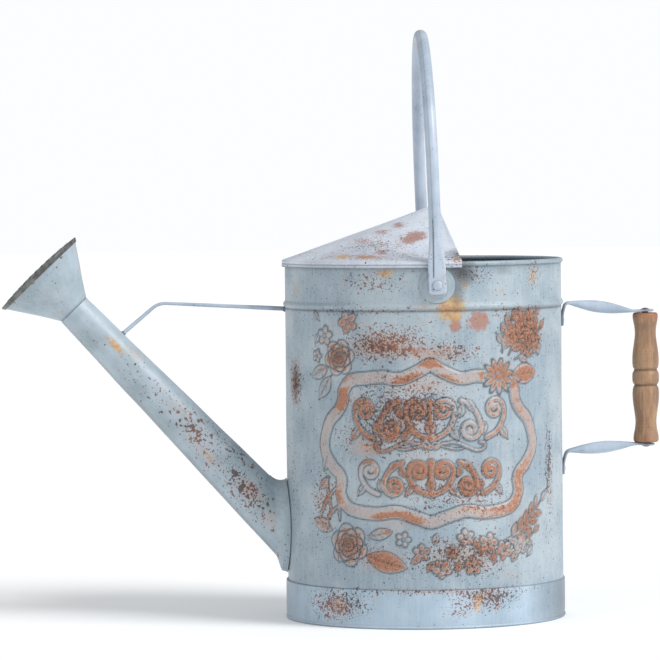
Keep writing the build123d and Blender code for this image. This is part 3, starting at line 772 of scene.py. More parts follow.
# %% scrolls and garlands
def scroll_row(middle, half_length, pairs, tall, thick):
    """A row of scrollwork, the same to left and right. Each bay has a C-scroll, a bar, a bud and leaves."""
    bay = half_length / pairs
    for hand in (1, -1):
        for number in range(pairs):
            s, up = hand * bay * (number + 0.5), 1 if number % 2 == 0 else -1
            r = min(0.40 * bay, 0.36 * tall)
            curl_z = middle + up * (tall / 2 - r)
            curl(s, curl_z, r, 0 if hand > 0 else 180, 1.35, hand * up, thick)
            low, lowest = middle - up * 0.30 * tall, middle - up * 0.46 * tall
            stem = ((1.0, curl_z), (0.9, middle), (0.2, low), (-0.9, lowest))
            stroke([(s + hand * share * r, z) for share, z in stem], thick, 1.3)
            for share, drop, length, angle, width, veins in (
                (0.5, 0.16, 0.40, hand * 34 - up * 90, 0.5, 2),
                (-1.0, 0.04, 0.34, -up * 90 - hand * 12, 0.55, 1),
            ):
                root = (s + hand * share * r, middle - up * drop * tall)
                leaf(*root, length * tall, angle, width, veins)
            mound(s - hand * 0.15 * r, curl_z, 1.9, 1.9, height=1.6)
    stroke([(0, middle - 0.42 * tall), (0, middle + 0.42 * tall)], thick, 1.3)
    for up in (1, -1):
        mound(0, middle + up * 0.44 * tall, 3.4, 3.4, height=1.5)


scroll_row(163.0, 63, 3, 32, 2.1)
scroll_row(117.5, 58, 3, 27, 2.0)
flourish = (
    ((2, 141.5), (10, 144.5), (20, 145), (30, 141), (37, 138.5), (43, 140.5), (43, 144.5), (39, 145)),
    ((4, 144), (12, 141.5), (22, 140), (29, 142)),
    ((0, 142), (3, 145.5), (6.5, 144.5), (5, 141), (0, 142)),
)
for hand in (1, -1):
    for number, points in enumerate(flourish):
        stroke([(hand * s, z) for s, z in points], 1.1 if number == 0 else 0.9, 1.1, taper=number == 1)
mound(0, 142, 2.2, 2.2, height=1.3)
print("two rows of scrolls and a flourish are drawn")


# %% flowers at the corners
def clear_ground(s, z, radius):
    """Flattens a round spot, so that a flower can lie over the ribbon."""
    spot = np.hypot(board_s - s, (board_z - z)[:, None]) < radius
    height_map[spot], edge_map[spot], groove_map[spot] = 0, FAR_AWAY, 0


for s, z, size in ((-75.5, 211, 13.0), (-68, 65, 14.5), (56, 195.5, 13.5)):
    clear_ground(s, z, size)
rose(-75.5, 211, 14, 10)
rose(-68, 65, 16.5, 40)
daisy(56, 195.5, 13.5, 11, 12)
leaf(69, 196, 27, 4, 0.58)
leaf(-87, 203, 20, 202, 0.5)
leaf(-84, 196, 21, 234, 0.5, veins=2)
small_flowers = (
    (-90, 228, 7.5, 10), (-67, 239, 8.5, 40), (-99, 212, 5.0, 0), (33, 49, 7.5, 20), (8, 47, 7.5, 50),
    (46, 66, 8, 5), (27, 71, 7, 30), (-8, 60, 6.5, 15), (60, 60, 7.5, 44), (76, 62, 6.5, 20), (-22, 70, 6, 0),
    (16, 60, 5.5, 12),
)
for s, z, size, lean in small_flowers:
    daisy(s, z, size, 5, lean)
buds = (
    (-101, 222, 60), (-97, 240, 130), (20, 44, 80), (40, 56, 100), (-3, 45, 60), (52, 50, 110), (2, 66, 75),
    (-99, 200, 20), (36, 62, 95), (68, 50, 70), (-16, 52, 30), (84, 54, 50),
)
for s, z, angle in buds:
    leaf(s, z, 9, angle, 0.55, veins=0)
for points, leaf_length, pairs in (
    ([(66, 212), (74, 224), (82, 233), (94, 243)], 12, 4),
    ([(72, 208), (84, 214), (93, 222), (102, 231)], 10, 4),
    ([(60, 214), (62, 226), (70, 240)], 10, 3),
):
    sprig(points, leaf_length, pairs, 0.5)
for s, z, size in ((78, 239, 7.5), (88, 225, 7), (68, 226, 7), (98, 217, 6), (94, 238, 5.5)):
    daisy(s, z, size, 5, 3 * s)
sprig([(58, 66), (72, 72), (84, 80), (102, 96)], 12, 5, 0.42)
sprig([(62, 58), (76, 62), (92, 72)], 9, 3, 0.45)
for s, z, length, angle, width, veins in (
    (-52, 57, 34, -16, 0.46, 5), (-84, 76, 22, 160, 0.48, 3), (-50, 72, 20, 12, 0.42, 2),
    (-92, 122, 15, 68, 0.5, 2), (-97, 108, 13, 40, 0.5, 1),
):
    leaf(s, z, length, angle, width, veins)
blades = (((-98, 84), (-76, 112)), ((-92, 76), (-76, 96)), ((-76, 84), (-72, 114)), ((-84, 90), (-88, 118)))
for low, high in blades:
    middle = ((low[0] + high[0]) / 2 - 2, (low[1] + high[1]) / 2 + 2)
    stroke([low, middle, high], 1.4, 1.1, taper=True)
height_map = np.clip(height_map - groove_map, 0, 2)
raised = (height_map > 0.1).mean()
print(f"the tallest ridge is {height_map.max():.2f} mm, and {raised:.0%} of the board is raised")


def read_board(board, s, z, outside=0.0):
    """The board's value at places given in millimetres, smooth between its cells."""
    u = np.clip((s + BOARD_HALF) / CELL, 0, len(board_s) - 1.001)
    v = np.clip((z - BOARD_LOW) / CELL, 0, len(board_z) - 1.001)
    i, j = u.astype(int), v.astype(int)
    u, v = u - i, v - j
    value = board[j, i] * (1 - u) * (1 - v) + board[j, i + 1] * u * (1 - v)
    value = value + board[j + 1, i] * (1 - u) * v + board[j + 1, i + 1] * u * v
    on = (np.abs(s) < BOARD_HALF) & (z > BOARD_LOW) & (z < BOARD_HIGH)
    return np.where(on, value, outside)


# %% [markdown]
# ## The body
# The body is one rolled sheet with a swaged bead near the top, and its top edge is curled round a wire.
# Its outline is a closed loop: up the outside, round the curl and down the inside. The loop is swept
# round the can, with close columns only where the ornament is, which keeps the face count down. The hole
# for the spout is cut with a Boolean, and the masks for the paint are worked out last, from where each
# point ended up.

# %% the body's outline and rows
FINE, COARSE = 0.95 * MM, 7.6 * MM
ROUND = 2 * pi * BODY_R
ornament = np.arange(-BOARD_HALF * MM, BOARD_HALF * MM, FINE)
rest = np.linspace(BOARD_HALF * MM, ROUND - BOARD_HALF * MM, ceil((ROUND - 2 * BOARD_HALF * MM) / COARSE) + 1)
column_s = np.concatenate([ornament, rest[:-1]])
bead_low, bead_high = BEAD_Z - BEAD_HEIGHT / 2, BEAD_Z + BEAD_HEIGHT / 2
wall_top = RIM_WIRE_Z - sqrt(ROLL_R**2 - (BODY_R - RIM_R) ** 2)
wall_z = np.concatenate([
    np.linspace(SHELL_BOTTOM, BOARD_LOW * MM, 6)[:-1],
    np.arange(BOARD_LOW * MM, BOARD_HIGH * MM, FINE),
    np.linspace(BOARD_HIGH * MM, bead_high + 1 * MM, 13)[:-1],
    np.linspace(bead_high + 1 * MM, wall_top, 14),
])


def bead_swell(z):
    """How far the swaged bead stands out at a height."""
    share = np.clip((z - bead_low) / BEAD_HEIGHT, 0, 1)
    return BEAD_OUT * np.sin(pi * share) ** 0.8


roll_turn = np.radians(np.linspace(-78, 258, 20)[1:-1])
roll = np.stack([RIM_R + ROLL_R * np.cos(roll_turn), RIM_WIRE_Z + ROLL_R * np.sin(roll_turn)], -1)
inner_z = np.array([wall_top, bead_high, BEAD_Z, bead_low, 0.18, 0.12, 0.07, SHELL_BOTTOM])
outer = np.stack([BODY_R + bead_swell(wall_z), wall_z], -1)
inner = np.stack([BODY_R - SHEET + bead_swell(inner_z), inner_z], -1)
profile = np.concatenate([outer, roll, inner])
angle = column_s / BODY_R
radius = np.repeat(profile[:, :1], len(angle), 1)
height = np.repeat(profile[:, 1:], len(angle), 1)
count = len(outer)
s_mm, z_mm = np.broadcast_to(column_s / MM, radius[:count].shape), height[:count] / MM
s_mm = np.where(s_mm > ROUND / MM / 2, s_mm - ROUND / MM, s_mm)
radius[:count] += read_board(height_map, s_mm, z_mm) * MM
SEAM_S = radians(114) * BODY_R / MM
radius[:count] += 0.35 * MM * bell(s_mm, SEAM_S, 2.2) * (z_mm < bead_low / MM - 3)
rows = np.stack([radius * np.sin(angle), -radius * np.cos(angle), height], -1)
waver = uneven(rows, 0.075, 0.22 * MM, 0.4) + uneven(rows, 0.19, 0.25 * MM, 2.0)
waver *= np.clip(np.minimum(height - SHELL_BOTTOM, bead_low - height) / 0.02, 0, 1)
rows[..., 0] += waver * np.sin(angle)
rows[..., 1] -= waver * np.cos(angle)
body_mesh = grid_mesh("body", rows, loop_rows=True)
print("the body has", len(profile), "rows of", len(angle), "points")

# %% the hole for the spout
BORE_HALF, BORE_SIDES = 0.03, 48
bore_side = SPOUT_DOWN.orthogonal().normalized()
bore_other = SPOUT_DOWN.cross(bore_side)
bore_turn = [2 * pi * k / BORE_SIDES for k in range(BORE_SIDES)]
bore_rings = [
    [tuple(centre + (bore_side * cos(a) + bore_other * sin(a)) * (ROOT_R - SHEET)) for a in bore_turn]
    for centre in (SPOUT_FOOT - SPOUT_DOWN * BORE_HALF, SPOUT_FOOT + SPOUT_DOWN * BORE_HALF)
]
bore_mesh = grid_mesh("spout_bore", bore_rings)
close_ends(bore_mesh)
cutter = bpy.data.objects.new("spout_bore", bore_mesh)
bpy.context.scene.collection.objects.link(cutter)
body_mesh = with_modifier(body_mesh, "BOOLEAN", operation="DIFFERENCE", solver="EXACT", object=cutter)
bpy.data.objects.remove(cutter)
print("the spout's hole is cut")


# %% where the body is worn
def round_the_can(mesh):
    """Each point's way round the can from the front, and its height, in millimetres."""
    x, y, z = points_of(mesh).T
    return np.arctan2(x, -y) * BODY_R / MM, z / MM


def patches(s_mm, z_mm, *ovals):
    """The strongest of several soft ovals on the can: (s, z, half width, half height, strength)."""
    field = np.zeros(len(s_mm))
    for s, z, wide, tall, strength in ovals:
        away = np.sqrt(((s_mm - s) / wide) ** 2 + ((z_mm - z) / tall) ** 2)
        field = np.maximum(field, soft_oval(away, strength))
    return field


place = points_of(body_mesh)
s_mm, z_mm = round_the_can(body_mesh)
outward = np.hypot(place[:, 0], place[:, 1]) > BODY_R - 0.4 * MM
crest = np.clip(read_board(height_map, s_mm, z_mm) - 0.25, 0, 1)
foot = bell(read_board(edge_map, s_mm, z_mm, FAR_AWAY), 0.30, 0.62)
foot = np.maximum(foot, np.clip(1.5 * read_board(groove_map, s_mm, z_mm), 0, 1))
rubbed = outward * patches(
    s_mm, z_mm,
    (-38, 220, 34, 13, 0.84), (4, 214, 30, 10, 0.70), (-66, 236, 26, 12, 0.45), (84, 231, 26, 22, 0.86),
    (58, 199, 18, 15, 0.62), (82, 197, 18, 12, 0.50), (-25, 164, 40, 26, 0.58), (-50, 142, 22, 13, 0.72),
    (-8, 122, 34, 24, 0.52), (32, 116, 28, 22, 0.52), (26, 56, 50, 18, 0.62), (-66, 66, 22, 20, 0.40),
    (-78, 212, 22, 20, 0.44), (86, 82, 26, 22, 0.48), (-40, 54, 26, 14, 0.66), (-90, 96, 18, 24, 0.42),
    (-28, 82, 22, 10, 0.50), (60, 128, 30, 60, 0.22), (-64, 178, 20, 10, 0.5), (-4, 190, 26, 9, 0.62),
    (-134, 190, 12, 22, 0.86), (66, 40, 20, 8, 0.40),
)
spots = outward * patches(
    s_mm, z_mm,
    (-34, 222, 50, 20, 1.0), (20, 216, 30, 14, 0.8), (-20, 168, 60, 46, 0.90), (-132, 190, 16, 25, 1.0),
    (116, 122, 10, 48, 0.95), (-94, 98, 26, 44, 0.66), (76, 246, 34, 7, 0.8), (-60, 247, 70, 5, 0.7),
    (40, 275, 22, 12, 0.72), (-45, 270, 44, 16, 0.60), (96, 276, 14, 16, 0.75), (20, 104, 70, 36, 0.72),
    (-140, 110, 16, 44, 0.60), (26, 56, 66, 24, 0.80), (-60, 60, 40, 26, 0.60), (-70, 150, 20, 30, 0.6),
    (84, 228, 34, 28, 0.7), (120, 70, 12, 26, 0.5),
)
bare = outward * patches(
    s_mm, z_mm,
    (20, 236, 7, 11, 0.80), (40, 239, 15, 12, 0.86), (-12, 216, 15, 9, 0.62), (-30, 219, 16, 8, 0.56),
    (-14, 84, 16, 8, 0.55), (88, 222, 18, 14, 0.42), (-60, 152, 26, 14, 0.30), (14, 217, 8, 6, 0.6),
    (-44, 52, 18, 9, 0.5),
)
rust = outward * patches(
    s_mm, z_mm,
    (17, 249, 17, 16, 0.80), (-4, 250, 16, 6, 0.50), (-128, 264, 9, 13, 0.60), (-34, 277, 16, 8, 0.60),
    (28, 268, 9, 10, 0.5), (94, 272, 14, 14, 0.52), (60, 262, 14, 8, 0.46), (-70, 270, 14, 12, 0.42),
)
soot = outward * patches(
    s_mm, z_mm, (26, 277, 13, 11, 1.0), (22, 264, 6, 16, 0.6), (62, 279, 10, 5, 0.4), (-134, 190, 8, 18, 0.7)
)
below_bead = bell(z_mm, bead_low / MM - 0.8, 1.0) * outward
under_rim = bell(z_mm, wall_top / MM - 0.6, 1.2)
over_band = bell(z_mm, BAND_TOP / MM, 1.4) * outward
rear = np.clip((np.abs(s_mm) - 120) / 60, 0, 1) * outward
outback = rear * (uneven(place, 0.06, 1.0, 5) > 0.55)
print(f"soot covers {(soot > 0.3).mean():.2%} of the points, worn places {(rubbed > 0.3).mean():.1%}")
# Painted shade in the dark layer: a painted shadow just under the bead and under the rolled rim, painted
# shade over the inside of the can, and the line at the foot of each ridge, partly dirt and partly painted
# shade.
store(
    body_mesh,
    wear=np.clip(crest * 0.52 + rubbed * (0.86 + 0.30 * crest), 0, 1) * outward + 0.25 * outback,
    grime=np.maximum.reduce([
        0.95 * foot * outward, soot, 0.75 * below_bead, 0.5 * under_rim, 0.7 * over_band, 0.12 * ~outward,
    ]),
    rust=rust,
    specks=np.maximum(spots, 0.30 + 0.06 * rear),
    bare=bare,
)
piece("body_skin", body_mesh, blue_grey, "can", ["body_shell"])


# %% [markdown]
# ## The foot band
# A second strip of sheet is wrapped round the foot. Its top edge is rounded over and its bottom edge is
# rolled round a wire, which makes the ring that the can stands on. It is swept round like the body, from
# one closed outline, and a slow unevenness keeps it from looking machined.

# %% foot band
BAND_SHEET, SHOULDER_TALL, HEM_ROLL = 1.2 * MM, 1.6 * MM, 1.5 * MM
HEM_R, HEM_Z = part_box("base_band")[1].x - HEM_ROLL, 1.25 * MM
BAND_OUT_R = BODY_R + BAND_SHEET
hem = [
    (HEM_R + HEM_ROLL * cos(a), max(HEM_Z + HEM_ROLL * sin(a), 0))
    for a in np.radians(np.arange(-150, 75, 15))
]
wall = [(BAND_OUT_R, z * MM) for z in (6, 12, 18, 24)]
shoulder = [
    (BODY_R + BAND_SHEET * cos(a), BAND_TOP - SHOULDER_TALL * (1 - sin(a)))
    for a in np.radians([0, 20, 40, 60, 80])
]
inside = [(BODY_R + 0.02 * MM, BAND_TOP), (BODY_R - 0.02 * MM, 16 * MM), (BODY_R - 0.02 * MM, 3 * MM)]


def swept_round(outline, columns):
    """Rows of points: an outline of (radius, height) turned about Z."""
    turn_by = np.linspace(0, 2 * pi, columns, endpoint=False)
    outline = np.asarray(outline, float)
    rows = np.stack([
        outline[:, :1] * np.sin(turn_by), -outline[:, :1] * np.cos(turn_by),
        np.repeat(outline[:, 1:], columns, 1),
    ], -1)
    return rows


rows = swept_round(hem + wall + shoulder + inside, 256)
reach = np.hypot(rows[..., 0], rows[..., 1])
push = uneven(rows, 0.09, 0.22 * MM, 1.1) * ((rows[..., 2] > 4 * MM) & (reach > BODY_R + 0.5 * MM))
rows[..., :2] *= (1 + push / reach)[..., None]
band_mesh = grid_mesh("band", rows, loop_rows=True)

# %% where the foot band is worn
s_mm, z_mm = round_the_can(band_mesh)
rubbed = patches(
    s_mm, z_mm, (-78, 16, 20, 11, 0.60), (44, 26, 22, 9, 0.62), (10, 30, 70, 3, 0.5), (24, 12, 12, 6, 0.4)
)
# Dark lines at the crease over the hem and along the top edge, painted shade along the hem's underside at the
# floor, and painted shade over the band's right side and back, where it turns from the light.
band_lines_and_floor_shade = 0.55 * bell(z_mm, 4.3, 1.1) + 0.6 * (z_mm > BAND_TOP / MM - 0.9) + 0.5 * (z_mm < 1.2)
painted_side_shade = patches(s_mm, z_mm, (112, 16, 22, 20, 0.30), (150, 16, 60, 44, 0.72), (-172, 16, 60, 34, 0.26))
store(
    band_mesh,
    wear=0.30 * bell(z_mm, 3.2, 1.3) + rubbed,
    grime=np.maximum(band_lines_and_floor_shade, painted_side_shade),
    rust=patches(
        s_mm, z_mm,
        (-78, 17, 20, 13, 0.46), (36, 20, 8, 14, 0.62), (-118, 14, 9, 7, 0.50), (-44, 21, 10, 7, 0.50),
    ),
    specks=0.15 + patches(
        s_mm, z_mm,
        (-80, 18, 34, 15, 0.85), (46, 24, 34, 13, 0.85), (0, 29, 100, 4, 0.62), (20, 15, 14, 9, 0.6),
    ),
    bare=patches(s_mm, z_mm, (52, 16, 15, 9, 0.62), (-86, 24, 12, 8, 0.55)),
)
piece("foot_band_skin", band_mesh, foot_blue, "can", ["base_band"])

# %% [markdown]
# ## The spout, its collar and the rose
# The spout is a tapered tube that ends on the round body. Each line down the tube is run on until it
# meets the body, so the root fits exactly. The collar is the flared boot round that root: every line on
# it starts along the spout and ends square on the body, and a Hermite blend between the two gives the
# hollow fillet that a beaten and soldered collar has.

# %% spout
ACROSS = np.array([0.0, 1.0, 0.0])
DOWN, NECK = np.array(SPOUT_DOWN), np.array(SPOUT_NECK)


def around_axis(local, origin, axis):
    """Points drawn about Z, turned so that Z runs along an axis in the XZ plane and X runs across the can."""
    axis = np.array(axis)
    third = np.cross(axis, ACROSS)
    return np.array(origin) + local[..., :1] * ACROSS + local[..., 1:2] * third + local[..., 2:] * axis


def spout_radius(along):
    """The tube's middle radius at a distance from the neck."""
    return NECK_R + (ROOT_R - NECK_R) * along / SPOUT_LENGTH


def spout_surface(turn_by, along, lift=0.0):
    """Points on the tube, or lifted off it, by the turn about its axis and the distance from the neck."""
    r = spout_radius(along) + lift
    return around_axis(np.stack([r * np.cos(turn_by), r * np.sin(turn_by), along], -1), NECK, DOWN)


def turned_off(turn_by, middle):
    """How far each turn is from the middle one, from -pi to pi."""
    return (turn_by - middle + pi) % (2 * pi) - pi


SPOUT_SIDES, SPOUT_ROWS = 128, 72
spout_turn = np.linspace(0, 2 * pi, SPOUT_SIDES, endpoint=False)
near, far = np.full(SPOUT_SIDES, SPOUT_LENGTH * 0.7), np.full(SPOUT_SIDES, SPOUT_LENGTH * 1.2)
for _ in range(40):
    half_way = (near + far) / 2
    point = spout_surface(spout_turn, half_way)
    hit = np.hypot(point[:, 0], point[:, 1]) < BODY_R
    near, far = np.where(hit, near, half_way), np.where(hit, half_way, far)
root_along = near
share = np.linspace(0, 1, SPOUT_ROWS)[:, None]
spout_rows = spout_surface(np.broadcast_to(spout_turn, (SPOUT_ROWS, SPOUT_SIDES)), share * root_along)
centre = NECK + (share * root_along)[..., None] * DOWN
out = (spout_rows - centre) / np.linalg.norm(spout_rows - centre, axis=-1, keepdims=True)
seam = bell(turned_off(spout_turn, 1.5 * pi), 0, 0.07)
bulge = uneven(spout_rows, 0.05, 0.28 * MM, 0.9) * np.sin(pi * share) ** 0.5
spout_rows = spout_rows + out * (bulge + 0.45 * MM * seam)[..., None]
spout_mesh = thicken(grid_mesh("spout", spout_rows[::-1]), SHEET)
print("the spout meets the body", round(root_along.min() / MM), "to", round(root_along.max() / MM), "mm down")


# %% where the spout is worn
place = points_of(spout_mesh)
along = (place - NECK) @ DOWN
off_axis = place - NECK - along[:, None] * DOWN
radius = np.linalg.norm(off_axis, axis=1)
up = off_axis @ np.cross(DOWN, ACROSS) / np.maximum(radius, 1e-6)


def on_spout(*ovals, side=-1):
    """Soft ovals on one side: (mm from the neck, height from -1 to 1, half length, half height, strength)."""
    field = np.zeros(len(place))
    for at, height, long, tall, strength in ovals:
        away = np.sqrt(((along / MM - at) / long) ** 2 + ((up - height) / tall) ** 2)
        field = np.maximum(field, soft_oval(away, strength))
    return field * ((place[:, 1] < 0) == (side < 0))


# Painted shade: a dark band along the underside of the spout and darkening over the inside of the tube.
store(
    spout_mesh,
    wear=on_spout(
        (200, 0.0, 20, 0.5, 0.56), (60, 0.7, 14, 0.4, 0.42), (150, -0.2, 36, 0.5, 0.40),
        (120, 0.3, 40, 0.5, 0.34), (228, -0.2, 14, 0.5, 0.44),
    ),
    rust=on_spout((43, 0.28, 16, 0.30, 0.74), (158, -0.25, 14, 0.26, 0.56))
    + on_spout((60, 0.0, 20, 0.6, 0.5), side=1),
    specks=np.maximum.reduce([
        on_spout(
            (90, 0.1, 50, 0.8, 0.60), (140, 0.1, 46, 0.9, 0.80), (196, -0.1, 56, 0.9, 0.85),
            (160, 0.7, 70, 0.4, 0.70),
        ),
        on_spout((120, 0.2, 110, 0.9, 0.5), side=1), np.full(len(place), 0.2),
    ]),
    bare=on_spout((200, 0.2, 18, 0.4, 0.56), (40, -0.5, 14, 0.3, 0.36)),
    grime=np.maximum(0.35 * bell(up, -1, 0.12), 0.6 * (radius < spout_radius(along) - 0.35 * MM)),
)
piece("spout_skin", spout_mesh, spout_grey, "can", ["spout_tube"])

# %% collar
COLLAR_SIDES, SLEEVE, LIP = 128, 4.2 * MM, 1.1 * MM
OVAL_Z, OVAL_WIDE, OVAL_TALL = SPOUT_FOOT.z + 2.7 * MM, 24.5 * MM, 36.5 * MM


def on_body(y, z, proud=0.0):
    """Points on the spout side of the body, or standing proud of it."""
    return np.stack([-np.sqrt((BODY_R + proud) ** 2 - y**2), y, z], -1)


turn_by = np.linspace(0, 2 * pi, COLLAR_SIDES, endpoint=False)
out_y, out_z = np.sin(turn_by), np.cos(turn_by)
ring_at = on_body(OVAL_WIDE * out_y, OVAL_Z + OVAL_TALL * out_z)
sleeve_at = ring_at - [SLEEVE, 0, 0] - 0.9 * MM * np.stack([np.zeros(COLLAR_SIDES), out_y, out_z], -1)
spout_side = np.arctan2(out_z, out_y)
start_along = np.interp(
    spout_side % (2 * pi), np.append(spout_turn, 2 * pi), np.append(root_along, root_along[0])
) - (17.0 + 3.0 * out_z) * MM
start_at = spout_surface(spout_side, start_along, 0.55 * MM)
flare = np.stack([1.0 + 0.3 * out_z, (0.65 - 0.45 * out_z) * out_y, (0.75 - 0.62 * out_z) * out_z], -1)
flare /= np.linalg.norm(flare, axis=1, keepdims=True)
gap = np.linalg.norm(sleeve_at - start_at, axis=1, keepdims=True)
t = np.linspace(0, 1, 15)[:, None, None]
blend = hermite(t, start_at, DOWN * gap, sleeve_at, flare * gap)
lip_at = on_body((OVAL_WIDE + LIP) * out_y, OVAL_Z + (OVAL_TALL + LIP) * out_z, 0.25 * MM)
sleeve_rows = [sleeve_at + (ring_at - sleeve_at) * k for k in (0.3, 0.6, 0.85)]
lip_middle = 0.5 * ring_at + 0.5 * lip_at - [0.5 * MM, 0, 0]
collar_rows = np.concatenate([blend, sleeve_rows, [lip_middle], [lip_at]])
collar_mesh = grid_mesh("collar", collar_rows[:, ::-1])
merge(collar_mesh)
collar_mesh = thicken(collar_mesh, 0.7 * MM)
place = points_of(collar_mesh)
off_body = place[:, 0] + np.sqrt(np.maximum(BODY_R**2 - place[:, 1] ** 2, 0))
store(
    collar_mesh,
    grime=0.6 * bell(off_body, 0, 0.9 * MM),
    specks=0.18 + 0.3 * spread(place, (-0.118, -0.012, 0.055), (0.02, 0.02, 0.03)),
    wear=0.36 * spread(place, (-0.124, -0.018, 0.078), (0.012, 0.014, 0.02)),
    bare=0.45 * spread(place, (-0.122, -0.016, 0.088), (0.012, 0.014, 0.014)),
)
piece("collar_skin", collar_mesh, spout_grey, "can", ["spout_collar"])

# %% rose cone
ROSE_LENGTH, ROSE_FACE_R, ROSE_SLEEVE = 40.6 * MM, 40.8 * MM, 10.0 * MM
ROSE_ROOT_R, ROSE_CONE_R = NECK_R + SHEET / 2, ROSE_FACE_R - SHEET
ROSE_SIDES, ROSE_GROWTH = 160, ROSE_CONE_R - ROSE_ROOT_R
cone_line = [
    (NECK_R - SHEET, -ROSE_SLEEVE), (NECK_R - SHEET, -0.2 * MM), (ROSE_ROOT_R - 0.3 * MM, -0.25 * MM),
]
for q in np.linspace(0, 1, 22):
    cone_line.append((ROSE_ROOT_R + ROSE_GROWTH * q - 0.25 * MM * sin(pi * q), ROSE_LENGTH * q))
cone_line = np.array(cone_line)
turn_by = np.linspace(0, 2 * pi, ROSE_SIDES, endpoint=False)
outwards = np.stack([np.cos(turn_by), np.sin(turn_by), np.zeros(ROSE_SIDES)], -1)
cone_local = cone_line[:, None, :1] * outwards + cone_line[:, None, 1:] * np.array([0.0, 0.0, 1.0])
lap = 0.4 * MM * bell(turned_off(turn_by, 1.25 * pi), 0, 0.035) * (cone_line[:, 1:] > 0)
cone_local += lap[..., None] * outwards
bow = uneven(cone_local, 0.04, 0.3 * MM, 3.0) * np.sin(pi * np.clip(cone_local[..., 2] / ROSE_LENGTH, 0, 1))
cone_local += bow[..., None] * outwards
rose_mesh = thicken(grid_mesh("rose", around_axis(cone_local, NECK, -DOWN)), SHEET)

place = points_of(rose_mesh)
up_axis = (place - NECK) @ -DOWN / MM
from_axis = np.linalg.norm(np.cross(place - NECK, DOWN), axis=1) / MM
# The inside of the cone, found here, is darkened below with painted shade.
hidden = from_axis < ROSE_ROOT_R / MM + ROSE_GROWTH / ROSE_LENGTH * up_axis - 0.65
rubbed = 0.34 * bell(up_axis, 39, 1.6) + 0.30 * spread(place, (-0.296, -0.02, 0.262), (0.02, 0.03, 0.014))
store(
    rose_mesh,
    wear=rubbed,
    grime=np.maximum(0.65 * bell(up_axis, 0, 1.2), 0.7 * hidden),
    rust=0.5 * spread(place, (-0.290, -0.012, 0.246), (0.012, 0.02, 0.01)),
    specks=0.16 + 0.30 * spread(place, (-0.31, -0.02, 0.29), (0.03, 0.03, 0.03)),
)
piece("rose_cone_skin", rose_mesh, spout_grey, "can", ["rose_cone"])

# %% [markdown]
# ## Geometry Nodes: a way to build trees in a script
# Three things on the can repeat or follow a path: the punched collars round the holes of the rose, the
# rivet heads, and the round rod of the brace. Geometry Nodes suit them, because one small tree with named
# sizes makes them all. A tree's inputs are set on the modifier by each socket's identifier, and the
# result is turned into a plain mesh before the piece is finished.

# %% node tree helpers
class Tree(Sums):
    """A Geometry Nodes tree under construction: inputs by name, nodes by type, links by call."""

    def __init__(self, name, **inputs):
        self.tree = bpy.data.node_groups.new(name, "GeometryNodeTree")
        sockets = self.tree.interface
        sockets.new_socket("Geometry", in_out="INPUT", socket_type="NodeSocketGeometry")
        self.ids = {}
        for label, (kind, default) in inputs.items():
            made = sockets.new_socket(label, in_out="INPUT", socket_type=kind)
            made.default_value = default
            self.ids[label] = made.identifier
        sockets.new_socket("Geometry", in_out="OUTPUT", socket_type="NodeSocketGeometry")
        self.source = self.tree.nodes.new("NodeGroupInput").outputs
        self.result = self.tree.nodes.new("NodeGroupOutput")

    def add(self, kind, settings=None, **feeds):
        """Adds a node; feeds are its inputs by name, with _ for a space. Gives back its first output."""
        node = self.tree.nodes.new(kind)
        for key, value in (settings or {}).items():
            setattr(node, key, value)
        for label, value in feeds.items():
            self.feed(next(x for x in node.inputs if x.name == label.replace("_", " ") and x.enabled), value)
        return node.outputs[0]

    def close(self, geometry, material):
        """Ends the tree as the export needs it: instances made real, and the material set."""
        real = self.add("GeometryNodeRealizeInstances", Geometry=geometry)
        done = self.add("GeometryNodeSetMaterial", Geometry=real, Material=material)
        self.tree.links.new(done, self.result.inputs[0])

    def mesh(self, base, **values):
        """Runs the tree on a base mesh, with its inputs set, and gives back the plain mesh."""
        carrier = bpy.data.objects.new("carrier", base)
        bpy.context.scene.collection.objects.link(carrier)
        modifier = carrier.modifiers.new("nodes", "NODES")
        modifier.node_group = self.tree
        for label, value in values.items():
            modifier[self.ids[label]] = value
        carrier.update_tag()
        made = bpy.data.meshes.new_from_object(carrier.evaluated_get(bpy.context.evaluated_depsgraph_get()))
        bpy.data.objects.remove(carrier)
        return made


FLOAT, WHOLE = "NodeSocketFloat", "NodeSocketInt"

# %% [markdown]
# ## Punched collars on the rose
# The holes in the rose's face are punched, and each leaves a small raised collar. They lie in rings round
# one at the centre, six more in each ring. The tree works that out: from a point's number it finds the
# ring it belongs to and its turn in that ring, and it lifts the point onto the domed face.

# %% rose collars
HOLE_R, RINGS, RING_STEP, DOME = 1.0 * MM, 5, 6.4 * MM, 2.2 * MM
punched = Tree(
    "punched_holes", Rings=(WHOLE, RINGS), Step=(FLOAT, RING_STEP), Hole=(FLOAT, HOLE_R),
    Burr=(FLOAT, 0.18 * MM), Dome=(FLOAT, DOME), Reach=(FLOAT, ROSE_CONE_R),
)
rings = punched.source["Rings"]
total = punched.plus(punched.times(punched.times(rings, 3), punched.plus(rings, 1)), 1)
number = punched.add("GeometryNodeInputIndex")
root = punched.maths("SQRT", punched.plus(punched.times(number, 12), 9))
ring_number = punched.maths("CEIL", punched.minus(punched.over(punched.minus(root, 3), 6), 1e-4))
before = punched.times(punched.times(ring_number, 3), punched.minus(ring_number, 1))
turn_in_ring = punched.minus(punched.minus(number, before), 1)
turn_by = punched.over(punched.times(turn_in_ring, pi / 3), punched.larger(ring_number, 1))
from_axis = punched.times(ring_number, punched.source["Step"])
fall = punched.over(from_axis, punched.source["Reach"])
lift = punched.times(punched.minus(1.0, punched.times(fall, fall)), punched.source["Dome"])
spot = punched.add(
    "ShaderNodeCombineXYZ", X=punched.times(from_axis, punched.maths("COSINE", turn_by)),
    Y=punched.times(from_axis, punched.maths("SINE", turn_by)), Z=lift,
)
